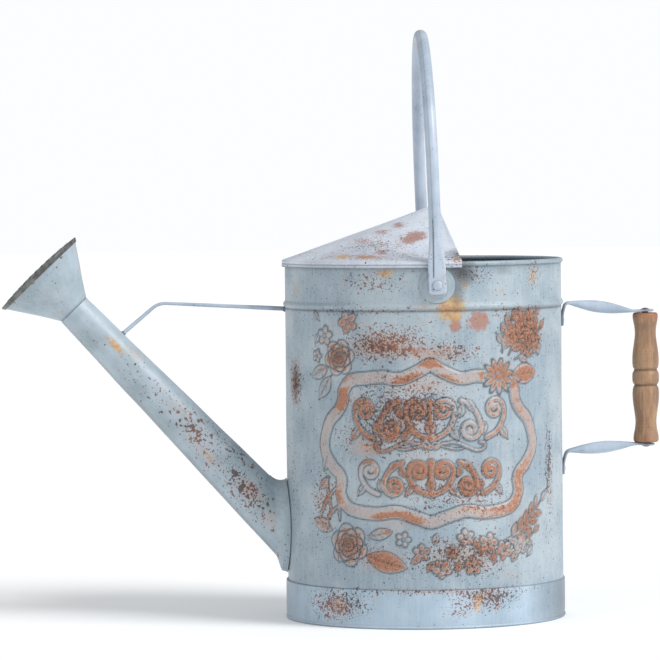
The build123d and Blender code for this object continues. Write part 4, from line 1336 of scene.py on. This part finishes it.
points = punched.add("GeometryNodePoints", Count=total, Position=spot)
burr_middle = punched.plus(punched.source["Hole"], punched.source["Burr"])
hole_ring = punched.add("GeometryNodeCurvePrimitiveCircle", Resolution=14, Radius=burr_middle)
burr = punched.add("GeometryNodeCurvePrimitiveCircle", Resolution=6, Radius=punched.source["Burr"])
collar = punched.add("GeometryNodeCurveToMesh", Curve=hole_ring, Profile_Curve=burr)
punched.close(punched.add("GeometryNodeInstanceOnPoints", Points=points, Instance=collar), dark_steel)
holes_mesh = punched.mesh(bpy.data.meshes.new("start"), Rings=RINGS, Step=RING_STEP, Hole=HOLE_R)
holes_local = points_of(holes_mesh) + [0, 0, ROSE_LENGTH + SHEET + 0.02 * MM]
move_points(holes_mesh, around_axis(holes_local, NECK, -DOWN))
merge(holes_mesh)
piece("rose_punched_collars", holes_mesh, dark_steel, "can")

# %% [markdown]
# ## The brace and its solder
# The rod that ties the spout to the body is round, thinner at its bend where it was pulled, and thicker
# where it was dipped in solder. The tree turns a line into a curve and sweeps a circle along it, scaled
# by a number stored on the line. The lumps of solder are rough cones round the rod, broad where they meet
# the sheet.

# %% brace
rod = Tree("round_rod", Sides=(WHOLE, 20))
rod_curve = rod.add("GeometryNodeMeshToCurve", Mesh=rod.source["Geometry"])
thick = rod.add("GeometryNodeInputNamedAttribute", Name="thick")
outline_circle = rod.add("GeometryNodeCurvePrimitiveCircle", Resolution=rod.source["Sides"], Radius=1.0)
swept = rod.add(
    "GeometryNodeCurveToMesh", Curve=rod_curve, Profile_Curve=outline_circle, Scale=thick, Fill_Caps=True,
)
rod.close(swept, handle_paint)

BRACE_Z = BEAD_Z - 3.9 * MM
BRACE_REACH, BRACE_RISE, BRACE_BELOW_NECK = 101 * MM, 3.2, 39.6 * MM
bend_at = np.array([-BODY_R - BRACE_REACH, 0, BRACE_Z + BRACE_REACH * tan(radians(BRACE_RISE))])
spout_end = NECK + DOWN * BRACE_BELOW_NECK
into_spout = (bend_at - spout_end) / np.linalg.norm(bend_at - spout_end)
body_end = np.array([-BODY_R + 1 * MM, 0, BRACE_Z])


def rounded(corners, radius, step):
    """A line with its corners rounded, in even steps, and how far along it each point is."""
    corners = [np.asarray(c, float) for c in corners]
    line = [corners[0]]
    for before, here, after in zip(corners, corners[1:], corners[2:]):
        a, b = before - here, after - here
        cut = min(radius, 0.45 * np.linalg.norm(a), 0.45 * np.linalg.norm(b))
        a, b = here + a / np.linalg.norm(a) * cut, here + b / np.linalg.norm(b) * cut
        for q in np.linspace(0, 1, 9):
            line.append((1 - q) ** 2 * a + 2 * q * (1 - q) * here + q * q * b)
    line.append(corners[-1])
    line = np.array(line)
    travel = np.concatenate([[0], np.cumsum(np.linalg.norm(np.diff(line, axis=0), axis=1))])
    even = np.linspace(0, travel[-1], max(3, ceil(travel[-1] / step)))
    return np.stack([np.interp(even, travel, line[:, i]) for i in range(3)], -1), even


brace_path, travel = rounded([spout_end + into_spout * 14 * MM, bend_at, body_end], 6.5 * MM, 2 * MM)
base = bpy.data.meshes.new("path")
base.from_pydata(brace_path.tolist(), [(i, i + 1) for i in range(len(brace_path) - 1)], [])
share = travel / travel[-1]
dipped_end, spout_share = np.clip((share - 0.45) / 0.4, 0, 1), np.clip(0.3 - share, 0, 0.3) / 0.3
thickness = (1.35 + 0.35 * dipped_end + 0.25 * spout_share) * MM
thickness += 0.06 * MM * np.sin(travel / (9 * MM))
store(base, thick=thickness)
brace_mesh = rod.mesh(base, Sides=20)
merge(brace_mesh)
place = points_of(brace_mesh)
store(
    brace_mesh, wear=0.30 * spread(place, bend_at, (0.03, 0.01, 0.012)), specks=0.12,
    grime=0.6 * spread(place, body_end, (0.014, 0.01, 0.01)),
)
piece("brace_rod", brace_mesh, handle_paint, "can", ["spout_brace"])


# %% solder
def lump(centre, axis, wide, tall, seed):
    """A rough cone of solder round a rod, broad at its foot."""
    axis = np.array(axis) / np.linalg.norm(axis)
    third = np.cross(axis, ACROSS)
    q = np.linspace(0, 1, 12)[:, None]
    a = np.linspace(0, 2 * pi, 28, endpoint=False)[None]
    r = wide * (1 - 0.62 * q**0.7) * (1 + 0.10 * np.sin(3 * a + seed) + 0.06 * np.sin(5 * a - seed))
    r = np.where(q < 1, r, 0.0)
    z = tall * (q - 0.25) * (1 + 0.08 * np.sin(2 * a + seed))
    z = np.where(q < 1, z, tall * 0.75)
    off_rod = (r * np.cos(a))[..., None] * ACROSS + (r * np.sin(a))[..., None] * third
    mesh = grid_mesh("lump", np.asarray(centre) + off_rod + z[..., None] * axis)
    close_ends(mesh, join_within=0.01 * MM)
    return mesh


both_lumps = bmesh.new()
spout_side_at = spout_end + into_spout * (spout_radius(BRACE_BELOW_NECK) + 0.2 * MM)
for centre, axis, wide, tall, seed in (
    (spout_side_at, into_spout, 3.3 * MM, 3.6 * MM, 0.4),
    (body_end - [0.8 * MM, 0, 0], (-1, 0, 0), 3.4 * MM, 3.8 * MM, 1.9),
):
    both_lumps.from_mesh(lump(centre, axis, wide, tall, seed))
solder_mesh = bpy.data.meshes.new("solder")
both_lumps.to_mesh(solder_mesh)
both_lumps.free()
store(solder_mesh, grime=0.35)
piece("brace_solder_lumps", solder_mesh, soft_solder, "can", ["brace_solder"])

# %% [markdown]
# ## The hood
# Half a flattened cone of sheet covers the spout side of the mouth. Its top leans towards the grip, and a
# skirt with a folded hem hooks over the rim. Both come from one set of lines that run from the hem up to
# the apex. A cut plane ends the sheet over the mouth, so each height has its own last angle. The sheet is
# then thickened.

# %% hood
APEX_X, APEX_RISE, FRONT_X, TIP_R = 9.2 * MM, 43 * MM, 25.7 * MM, 2.5 * MM
SLANT_LAST = 1 - TIP_R / HOOD_R
HOOD_COLUMNS, HOOD_LEVELS = 150, 90
hood_levels = np.linspace(0, 1, HOOD_LEVELS) ** 1.1 * SLANT_LAST


def front_limit(level):
    """Where the cut plane crosses a level of the hood."""
    return FRONT_X + (APEX_X + TIP_R - FRONT_X) * np.clip(level, 0, 1)


def hood_ring(level, lift=0.0, drop=0.0):
    """One row of the hood, from cut edge to cut edge. lift moves it outwards, and drop moves it down."""
    centre_x, r = APEX_X * level, HOOD_R * (1 - level) + lift
    last = min(acos(max(-1.0, min(1.0, (centre_x - front_limit(level)) / r))), pi - 0.05)
    a = np.linspace(-last, last, HOOD_COLUMNS)
    z = HOOD_Z + APEX_RISE * level - drop
    return np.stack([centre_x - r * np.cos(a), r * np.sin(a), np.full(HOOD_COLUMNS, z)], -1)


hem_outline = (
    (-0.1, 5.0), (0, 4.9), (0, 4.2), (-0.05, 3.2), (-0.25, 2.6), (-0.25, 2.2), (0, 1.6), (0, 0.8),
    (-0.1, 0.25), (-0.45, 0),
)
hem_rows = [hood_ring(0, lift * MM, drop * MM) for lift, drop in hem_outline]
cone_rows = [hood_ring(level) for level in hood_levels[1:]]
cone_rows += [hood_ring(SLANT_LAST, lift=-gone) for gone in (0.45 * TIP_R, 0.86 * TIP_R)]
hood_rows = np.array(hem_rows + cone_rows)
lift_share = np.clip((hood_rows[..., 2] - HOOD_Z) / APEX_RISE, 0, 1)
columns = np.linspace(-1, 1, hood_rows.shape[1])
dent = uneven(hood_rows, 0.055, 0.55 * MM, 0.7) + uneven(hood_rows, 0.14, 0.5 * MM, 2.6)
dent = dent * np.sin(pi * np.clip(lift_share * 1.1 + 0.02, 0, 1)) - 0.5 * MM * np.sin(pi * lift_share)
hood_rows[..., 2] += dent
hem_share = np.linspace(1, 0.2, len(hem_rows))[:, None]
hood_rows[: len(hem_rows), :, 2] += 0.22 * MM * np.sin(columns * 23) * hem_share
hood_rows[len(hem_rows):, :, 2] += 0.7 * MM * bell((1 - np.abs(columns)) * HOOD_COLUMNS, 0, 2.2)
hood_mesh = thicken(grid_mesh("hood", hood_rows[:, ::-1], around=False), SHEET)
place = points_of(hood_mesh)
low = (place[:, 2] - SKIRT_LOW) / MM


def on_hood(*spots):
    """Soft ovals on the hood's front: (x, share of its height, half width, half height, strength), in mm."""
    field = np.zeros(len(place))
    for x, level, wide, tall, strength in spots:
        y = -sqrt((HOOD_R * (1 - level)) ** 2 - (x * MM - APEX_X * level) ** 2)
        centre = (x * MM, y, HOOD_Z + APEX_RISE * level)
        away = np.linalg.norm((place - centre) / np.array([wide, 1.6 * wide, tall]) / MM, axis=1)
        field = np.maximum(field, soft_oval(away, strength))
    return field


# The dark lines at the hem's fold and along its bottom edge are painted shade under the hem.
store(
    hood_mesh,
    bare=on_hood(
        (-8, 0.44, 14, 10, 0.74), (-14, 0.38, 14, 8, 0.66), (-20, 0.64, 14, 7, 0.58),
        (-34, 0.52, 20, 7, 0.54), (-50, 0.37, 22, 7, 0.52), (-35, 0.17, 14, 8, 0.54),
        (-50, 0.09, 34, 4.5, 0.54), (-15, 0.13, 18, 5, 0.48),
        (24, 0.05, 9, 6, 0.56), (-40, 0.30, 26, 8, 0.48), (-78, 0.08, 16, 5, 0.48), (-20, 0.30, 20, 8, 0.46),
    ),
    specks=np.maximum.reduce([
        on_hood((-40, 0.30, 50, 14, 0.62), (20, 0.06, 14, 10, 0.8)), 0.40 * (low < 12) * (low > 6),
        0.5 * spread(place, (-0.030, 0.05, 0.300), (0.06, 0.05, 0.02)), np.full(len(place), 0.25),
    ]),
    rust=on_hood((-66, 0.09, 12, 5, 0.66), (-45, 0.07, 34, 4, 0.52), (22, 0.03, 8, 5, 0.60)),
    grime=np.maximum.reduce([
        0.70 * bell(low, 2.4, 0.5), 0.85 * bell(low, 0, 0.7), on_hood((21, 0.12, 7, 14, 0.55)),
    ]),
    wear=0.22 * bell(low, 5.2, 0.8),
)
piece("hood_skin", hood_mesh, lilac_white, "can", ["hood"])

# %% [markdown]
# ## Hammered tubes: the bail and the brackets
# The bail and both brackets of the grip are the same kind of thing: thin tube rolled from a strip, with
# its ends hammered flat. Flattening keeps the length of the outline, so the tube grows wider as it gets
# thinner, and the open seam of the strip shows as a slit, darkened later with painted shade. One function
# sweeps such a section along a flat path.

# %% hammered tube
def flat_width(thickness):
    """The width of the tube when it is hammered to a thickness."""
    return thickness + pi * (TUBE_R - thickness / 2)


def tube_outline(thickness, wide, seam_depth, seam_at, count):
    """Outline of one section as (across, through), with a narrow slit on its outer side."""
    straight = max(wide - thickness, 0)
    half = thickness / 2
    outline = []
    for d in np.linspace(0, 1, count, endpoint=False) * (2 * straight + pi * thickness):
        if d < straight:
            outline.append((-straight / 2 + d, half))
        elif d < straight + pi * half:
            a = (d - straight) / half
            outline.append((straight / 2 + half * sin(a), half * cos(a)))
        elif d < 2 * straight + pi * half:
            outline.append((straight / 2 - (d - straight - pi * half), -half))
        else:
            a = (d - 2 * straight - pi * half) / half
            outline.append((-straight / 2 - half * sin(a), -half * cos(a)))
    outline = np.array(outline)
    outline[:, 1] -= seam_depth * bell(outline[:, 0], seam_at, 0.42 * MM) * (outline[:, 1] > 0)
    return outline


def hammered_tube(path, normals, across, thickness, corner_start, corner_end, seam, count=56):
    """Sweeps the tube along a path in one plane. across is the wide direction, normals the outer side. The
    ends are rounded with a corner radius, and seam gives a depth and a place for each point of the path.
    Gives back the mesh and where its slit is."""
    travel = np.concatenate([[0], np.cumsum(np.linalg.norm(np.diff(path, axis=0), axis=1))])
    rows, marks = [], []
    for i, point in enumerate(path):
        wide = flat_width(thickness[i])
        for gap_to_end, corner in ((travel[i], corner_start), (travel[-1] - travel[i], corner_end)):
            if gap_to_end < corner:
                wide -= 2 * (corner - sqrt(max(corner**2 - (corner - gap_to_end) ** 2, 0)))
        wide = max(wide, 0.4 * MM)
        depth, at = seam[0][i], seam[1][i]
        outline = tube_outline(min(thickness[i], wide * 0.98), wide, depth, at, count)
        rows.append(point + outline[:, :1] * np.asarray(across) + outline[:, 1:] * normals[i])
        marks.append(bell(outline[:, 0], at, 0.5 * MM) * (outline[:, 1] > 0) * (depth > 0))
    mesh = grid_mesh("tube", rows)
    close_ends(mesh)
    return mesh, np.concatenate(marks)


# %% bail
BAIL_LEAN = radians(1.9)
FLAT_T, FLAT_TOP, ROUND_FROM, EYE_END, EYE_CORNER = 2 * MM, 12 * MM, 42 * MM, 7 * MM, 3 * MM
BAIL_SPAN = HOOD_R + 2.6 * MM
bail_reach = (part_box("bail")[1].z - PIVOT.z) / cos(BAIL_LEAN) - TUBE_R
shoulder_up = bail_reach - BAIL_SPAN
leg = np.concatenate([
    -EYE_END + np.array([0, 0.15, 0.5, 1.0, 1.7, 2.4, 3.0]) * MM,
    np.linspace(-3 * MM, ROUND_FROM + 8 * MM, 46),
    np.linspace(ROUND_FROM + 8 * MM, shoulder_up, 12)[1:-1],
])
arc = np.linspace(0, pi, 97)
flat_path = np.concatenate([
    np.stack([np.full(len(leg), -BAIL_SPAN), leg], -1),
    np.stack([-BAIL_SPAN * np.cos(arc), shoulder_up + BAIL_SPAN * np.sin(arc)], -1),
    np.stack([np.full(len(leg), BAIL_SPAN), leg[::-1]], -1),
])
step_along = np.gradient(flat_path, axis=0)
step_along /= np.linalg.norm(step_along, axis=1, keepdims=True)
out_flat = np.stack([-step_along[:, 1], step_along[:, 0]], -1)
lean_up = np.array([-sin(BAIL_LEAN), 0.0, cos(BAIL_LEAN)])
lean_across = np.array([cos(BAIL_LEAN), 0.0, sin(BAIL_LEAN)])


def in_bail_plane(flat):
    """Turns (across the can, up the bail) into directions in space."""
    return flat[:, :1] * ACROSS + flat[:, 1:] * lean_up


bail_path = np.array(PIVOT) + in_bail_plane(flat_path)
climb = np.where(flat_path[:, 1] < shoulder_up, flat_path[:, 1], 1.0)
swell = ease(np.clip((climb - FLAT_TOP) / (ROUND_FROM - FLAT_TOP), 0, 1))
thickness = FLAT_T + (2 * TUBE_R - FLAT_T) * swell
SEAM_CLOSED = 47 * MM
open_seam = np.clip((climb - 6 * MM) / (3 * MM), 0, 1) * np.clip((SEAM_CLOSED - climb) / (8 * MM), 0, 1)
seam_place = -3.0 * MM + 1.2 * MM * np.clip(climb / (45 * MM), 0, 1)
bail_mesh, slit = hammered_tube(
    bail_path, in_bail_plane(out_flat), lean_across, thickness, EYE_CORNER, EYE_CORNER,
    seam=(0.75 * MM * open_seam + 0.14 * MM * (climb > SEAM_CLOSED), seam_place), count=72,
)
place = points_of(bail_mesh)
up = (place[:, 2] - PIVOT.z) / MM
hollows = uneven(place, 0.018, 1.0, 0.3) * np.clip(1 - up / 45, 0, 1)
move_points(bail_mesh, place + 0.12 * MM * hollows[:, None] * np.sign(place[:, 1:2]) * ACROSS)
eye_shoulder = bell(up, 8, 1.5) * (np.abs(place[:, 0] - PIVOT.x) > 6 * MM)
# The darkening along the slit is painted shade in the open seam.
store(
    bail_mesh,
    grime=np.maximum.reduce([0.95 * slit * (up < 50), 0.35 * slit, 0.4 * eye_shoulder]),
    wear=np.maximum.reduce([
        0.40 * np.clip(1 - np.abs(up + 6.6) / 1.6, 0, 1), 0.28 * (np.abs(uneven(place, 0.05, 1.0, 4)) > 0.72),
        0.42 * spread(place, (0.004, 0.0, 0.468), (0.02, 0.05, 0.006)),
    ]),
    rust=0.42 * np.clip(1 - np.abs(up + 5) / 3, 0, 1) * (place[:, 0] > PIVOT.x + 3 * MM),
    specks=0.22 + 0.20 * np.clip(1 - up / 60, 0, 1),
)
piece("bail_skin", bail_mesh, handle_paint, "bail", ["bail"])

# %% brackets
CORNER_OUT, TAB_LENGTH, BRACKET_T = 3.6 * MM, 18.5 * MM, 1.8 * MM
GRIP_LOW, GRIP_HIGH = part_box("grip")[0].z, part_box("grip")[1].z
EYE_R = flat_width(BRACKET_T) / 2


def bracket_skin(name, node, corner_z, end_z, hook):
    """An arm from its tab on the body to the eye round the grip's rod, hammered flat at both ends."""
    seat_x = BODY_R + BRACKET_T / 2
    corners = [
        (seat_x, 0, corner_z - TAB_LENGTH), (seat_x, 0, corner_z - 9.5 * MM),
        (BODY_R + CORNER_OUT, 0, corner_z),
        (GRIP_AXIS.x - EYE_R - 2 * MM, 0, end_z), (GRIP_AXIS.x + EYE_R, 0, end_z + hook),
    ]
    line, travel = rounded(corners, 3.2 * MM, 0.8 * MM)
    direction = np.gradient(line, axis=0)
    direction /= np.linalg.norm(direction, axis=1, keepdims=True)
    outer = np.stack([-direction[:, 2], np.zeros(len(line)), direction[:, 0]], -1)
    arm_start = travel[np.argmin(np.linalg.norm(line - corners[2], axis=1))]
    arm_end = travel[np.argmin(np.linalg.norm(line - corners[3], axis=1))]
    share = np.clip((travel - arm_start) / (arm_end - arm_start), 0, 1)
    thickness = BRACKET_T + (2 * TUBE_R - BRACKET_T) * np.sin(pi * share) ** 1.15
    open_seam = 0.5 * MM * np.sin(pi * share) ** 0.5
    seam = (open_seam, np.full(len(line), 1.6 * MM))
    mesh, slit = hammered_tube(line, outer, (0, 1, 0), thickness, 3 * MM, EYE_R - 0.3 * MM, seam)
    x = points_of(mesh)[:, 0]
    at_ends = np.maximum(bell(x, BODY_R, 4 * MM), bell(x, GRIP_AXIS.x, 6 * MM))
    # The darkening along the slit is painted shade in the open seam; the ends get dirt.
    store(
        mesh, grime=np.maximum(0.8 * slit, 0.45 * at_ends), wear=0.30 * at_ends, rust=0.30 * at_ends,
        specks=0.14 + 0.24 * at_ends,
    )
    piece(name, mesh, handle_paint, "can", [node])


UPPER_CORNER, LOWER_CORNER = BEAD_Z - 1.4 * MM, GRIP_LOW - 6.4 * MM
EYE_GAP = 0.3 * MM + BRACKET_T / 2
bracket_skin("upper_bracket_skin", "upper_bracket", UPPER_CORNER, GRIP_HIGH + EYE_GAP, 0.7 * MM)
bracket_skin("lower_bracket_skin", "lower_bracket", LOWER_CORNER, GRIP_LOW - EYE_GAP, -0.5 * MM)

# %% [markdown]
# ## Rivet heads
# Every rivet on the can has a head outside and a hammered tail inside. The tree takes a loose point for
# each one, with its direction and size stored on the point, and puts a flattened ball there. Noise with a
# fixed pattern then presses small facets into it, as a hammer does.

# %% rivets
FACET = 0.22 * MM
riveter = Tree("rivet_heads", Facets=(FLOAT, FACET))
ball = riveter.add("GeometryNodeMeshUVSphere", Segments=28, Rings=14, Radius=1.0)
facing = riveter.add("GeometryNodeInputNamedAttribute", settings={"data_type": "FLOAT_VECTOR"}, Name="facing")
size = riveter.add("GeometryNodeInputNamedAttribute", settings={"data_type": "FLOAT_VECTOR"}, Name="size")
aim = riveter.add("FunctionNodeAlignRotationToVector", settings={"axis": "Z"}, Vector=facing)
spots = riveter.source["Geometry"]
heads = riveter.add("GeometryNodeInstanceOnPoints", Points=spots, Instance=ball, Rotation=aim, Scale=size)
real_heads = riveter.add("GeometryNodeRealizeInstances", Geometry=heads)
pattern = riveter.add("ShaderNodeTexNoise", Scale=260.0, Detail=1.0)
press = riveter.times(riveter.minus(pattern, 0.5), riveter.source["Facets"])
along_normal = riveter.add(
    "ShaderNodeVectorMath", settings={"operation": "SCALE"}, Scale=press,
    Vector=riveter.add("GeometryNodeInputNormal"),
)
riveter.close(riveter.add("GeometryNodeSetPosition", Geometry=real_heads, Offset=along_normal), handle_paint)


def rivets(name, spots, nodes):
    """Rivet heads at (place, direction, radius, height); each is a flattened ball half sunk in the sheet."""
    start = bpy.data.meshes.new("spots")
    start.from_pydata([tuple(spot[0]) for spot in spots], [], [])
    for label, values in (("facing", [s[1] for s in spots]), ("size", [(s[2], s[2], s[3]) for s in spots])):
        layer = start.attributes.new(label, "FLOAT_VECTOR", "POINT")
        layer.data.foreach_set("vector", np.array(values, np.float32).ravel())
    mesh = riveter.mesh(start, Facets=FACET)
    merge(mesh)
    place = points_of(mesh)
    foot_of = np.zeros(len(place))
    for where, direction, radius, tall in spots:
        rel = place - np.array(where)
        rise = rel @ np.array(direction)
        here = np.linalg.norm(rel, axis=1) < radius * 1.3
        foot_of = np.maximum(foot_of, here * bell(np.clip(rise, 0, None), 0, 0.30 * tall))
    store(mesh, grime=0.7 * foot_of, wear=0.16 * (1 - foot_of), specks=0.12, rust=0.2 * foot_of)
    piece(name, mesh, handle_paint, "can", nodes)


RIVET_HEAD, RIVET_TAIL = (4.0 * MM, 2.2 * MM), (3.6 * MM, 1.8 * MM)
bail_spots, tab_spots = [], []
under_head = BAIL_SPAN + FLAT_T / 2 + 0.1 * MM
for side in (-1, 1):
    bail_spots.append(((PIVOT.x, side * under_head, PIVOT.z), (0, side, 0), *RIVET_HEAD))
    bail_spots.append(((PIVOT.x, side * (BODY_R - SHEET - 1.4 * MM), PIVOT.z), (0, -side, 0), *RIVET_TAIL))
for corner_z in (UPPER_CORNER, LOWER_CORNER):
    rivet_z = corner_z - TAB_LENGTH + 4.5 * MM
    tab_spots.append(((BODY_R + BRACKET_T, 0, rivet_z), (1, 0, 0), 3.0 * MM, 0.9 * MM))
    tab_spots.append(((BODY_R - SHEET, 0, rivet_z), (-1, 0, 0), 3.0 * MM, 0.9 * MM))
rivets("bail_rivet_heads", bail_spots, ["bail_rivets"])
rivets("tab_rivet_heads", tab_spots, ["bracket_rivets"])

# %% [markdown]
# ## The turned grip
# The grip was turned on a lathe: a bead between two grooves at its middle, a belly to each side, then a
# cove and a rounded end. Its outline is a smooth line through a few stations, the same above and below,
# swept round the rod. Fine tool marks and dirt in the grooves come from the distance to those stations.

# %% grip
GRIP_HALF, GRIP_MIDDLE, BORE_R = (GRIP_HIGH - GRIP_LOW) / 2, (GRIP_LOW + GRIP_HIGH) / 2, 2.58 * MM
stations = [
    (0, 10.8), (0.05, 10.7), (0.085, 10.2), (0.105, 9.4), (0.13, 9.3), (0.15, 10.1), (0.20, 10.55),
    (0.28, 10.7), (0.40, 10.25), (0.52, 9.35), (0.62, 8.65), (0.70, 8.5), (0.79, 8.95), (0.87, 9.8),
    (0.93, 10.2), (0.965, 10.1), (0.99, 9.5), (1.0, 8.6),
]
upper = smooth_path([(r, h * GRIP_HALF / MM) for h, r in stations], step=0.45)
lower = [(r, -h) for r, h in upper[::-1]]
bore_low, bore_high = ((BORE_R / MM, end * GRIP_HALF / MM) for end in (-1, 1))
grip_line = np.array([bore_low] + lower + list(upper[1:]) + [bore_high]) * MM
grip_line[:, 1] = np.clip(grip_line[:, 1], -GRIP_HALF, GRIP_HALF)
rows = swept_round(grip_line, 96)
outside = np.hypot(rows[..., 0], rows[..., 1]) > BORE_R + 1 * MM
worn_oval = 1 - 0.012 * np.cos(2 * np.arctan2(rows[..., 1], rows[..., 0]) + 0.6) * outside
tool_marks = 1 + 0.0035 * np.sin(rows[..., 2] / (0.42 * MM)) * outside
rows[..., :2] *= (worn_oval * tool_marks)[..., None]
rows += np.array([GRIP_AXIS.x, 0, GRIP_MIDDLE])
grip_mesh = grid_mesh("grip", rows, loop_rows=True)
height = (points_of(grip_mesh)[:, 2] - GRIP_MIDDLE) / GRIP_HALF
from_middle = np.abs(height)
store(
    grip_mesh,
    grime=np.maximum(0.85 * bell(from_middle, 0.117, 0.016), 0.5 * bell(from_middle, 1, 0.02)),
    wear=np.maximum(0.9 * bell(height, 1, 0.06), 0.3 * (from_middle > 0.9)),
)
piece("grip_skin", grip_mesh, wood, "grip", ["grip"])

# %% [markdown]
# ## The pieces that stay as designed
# The ears under the bail, the rose's perforated face, the pan, the wires, the washers and the rod of the
# grip already have the right shape. They keep their design meshes and only get their finishes.

# %% finishes on the design's own meshes
for node, material in (
    ("bail_ears", blue_grey), ("rose_face", dark_steel), ("bottom_pan", galvanised), ("rim_wire", plain_wire),
    ("base_wire", plain_wire), ("bail_burrs", galvanised), ("grip_rod", dark_steel),
):
    own = frame["nodes"][node].data.materials
    own.clear()
    own.append(material)
print("finished the design's own meshes")
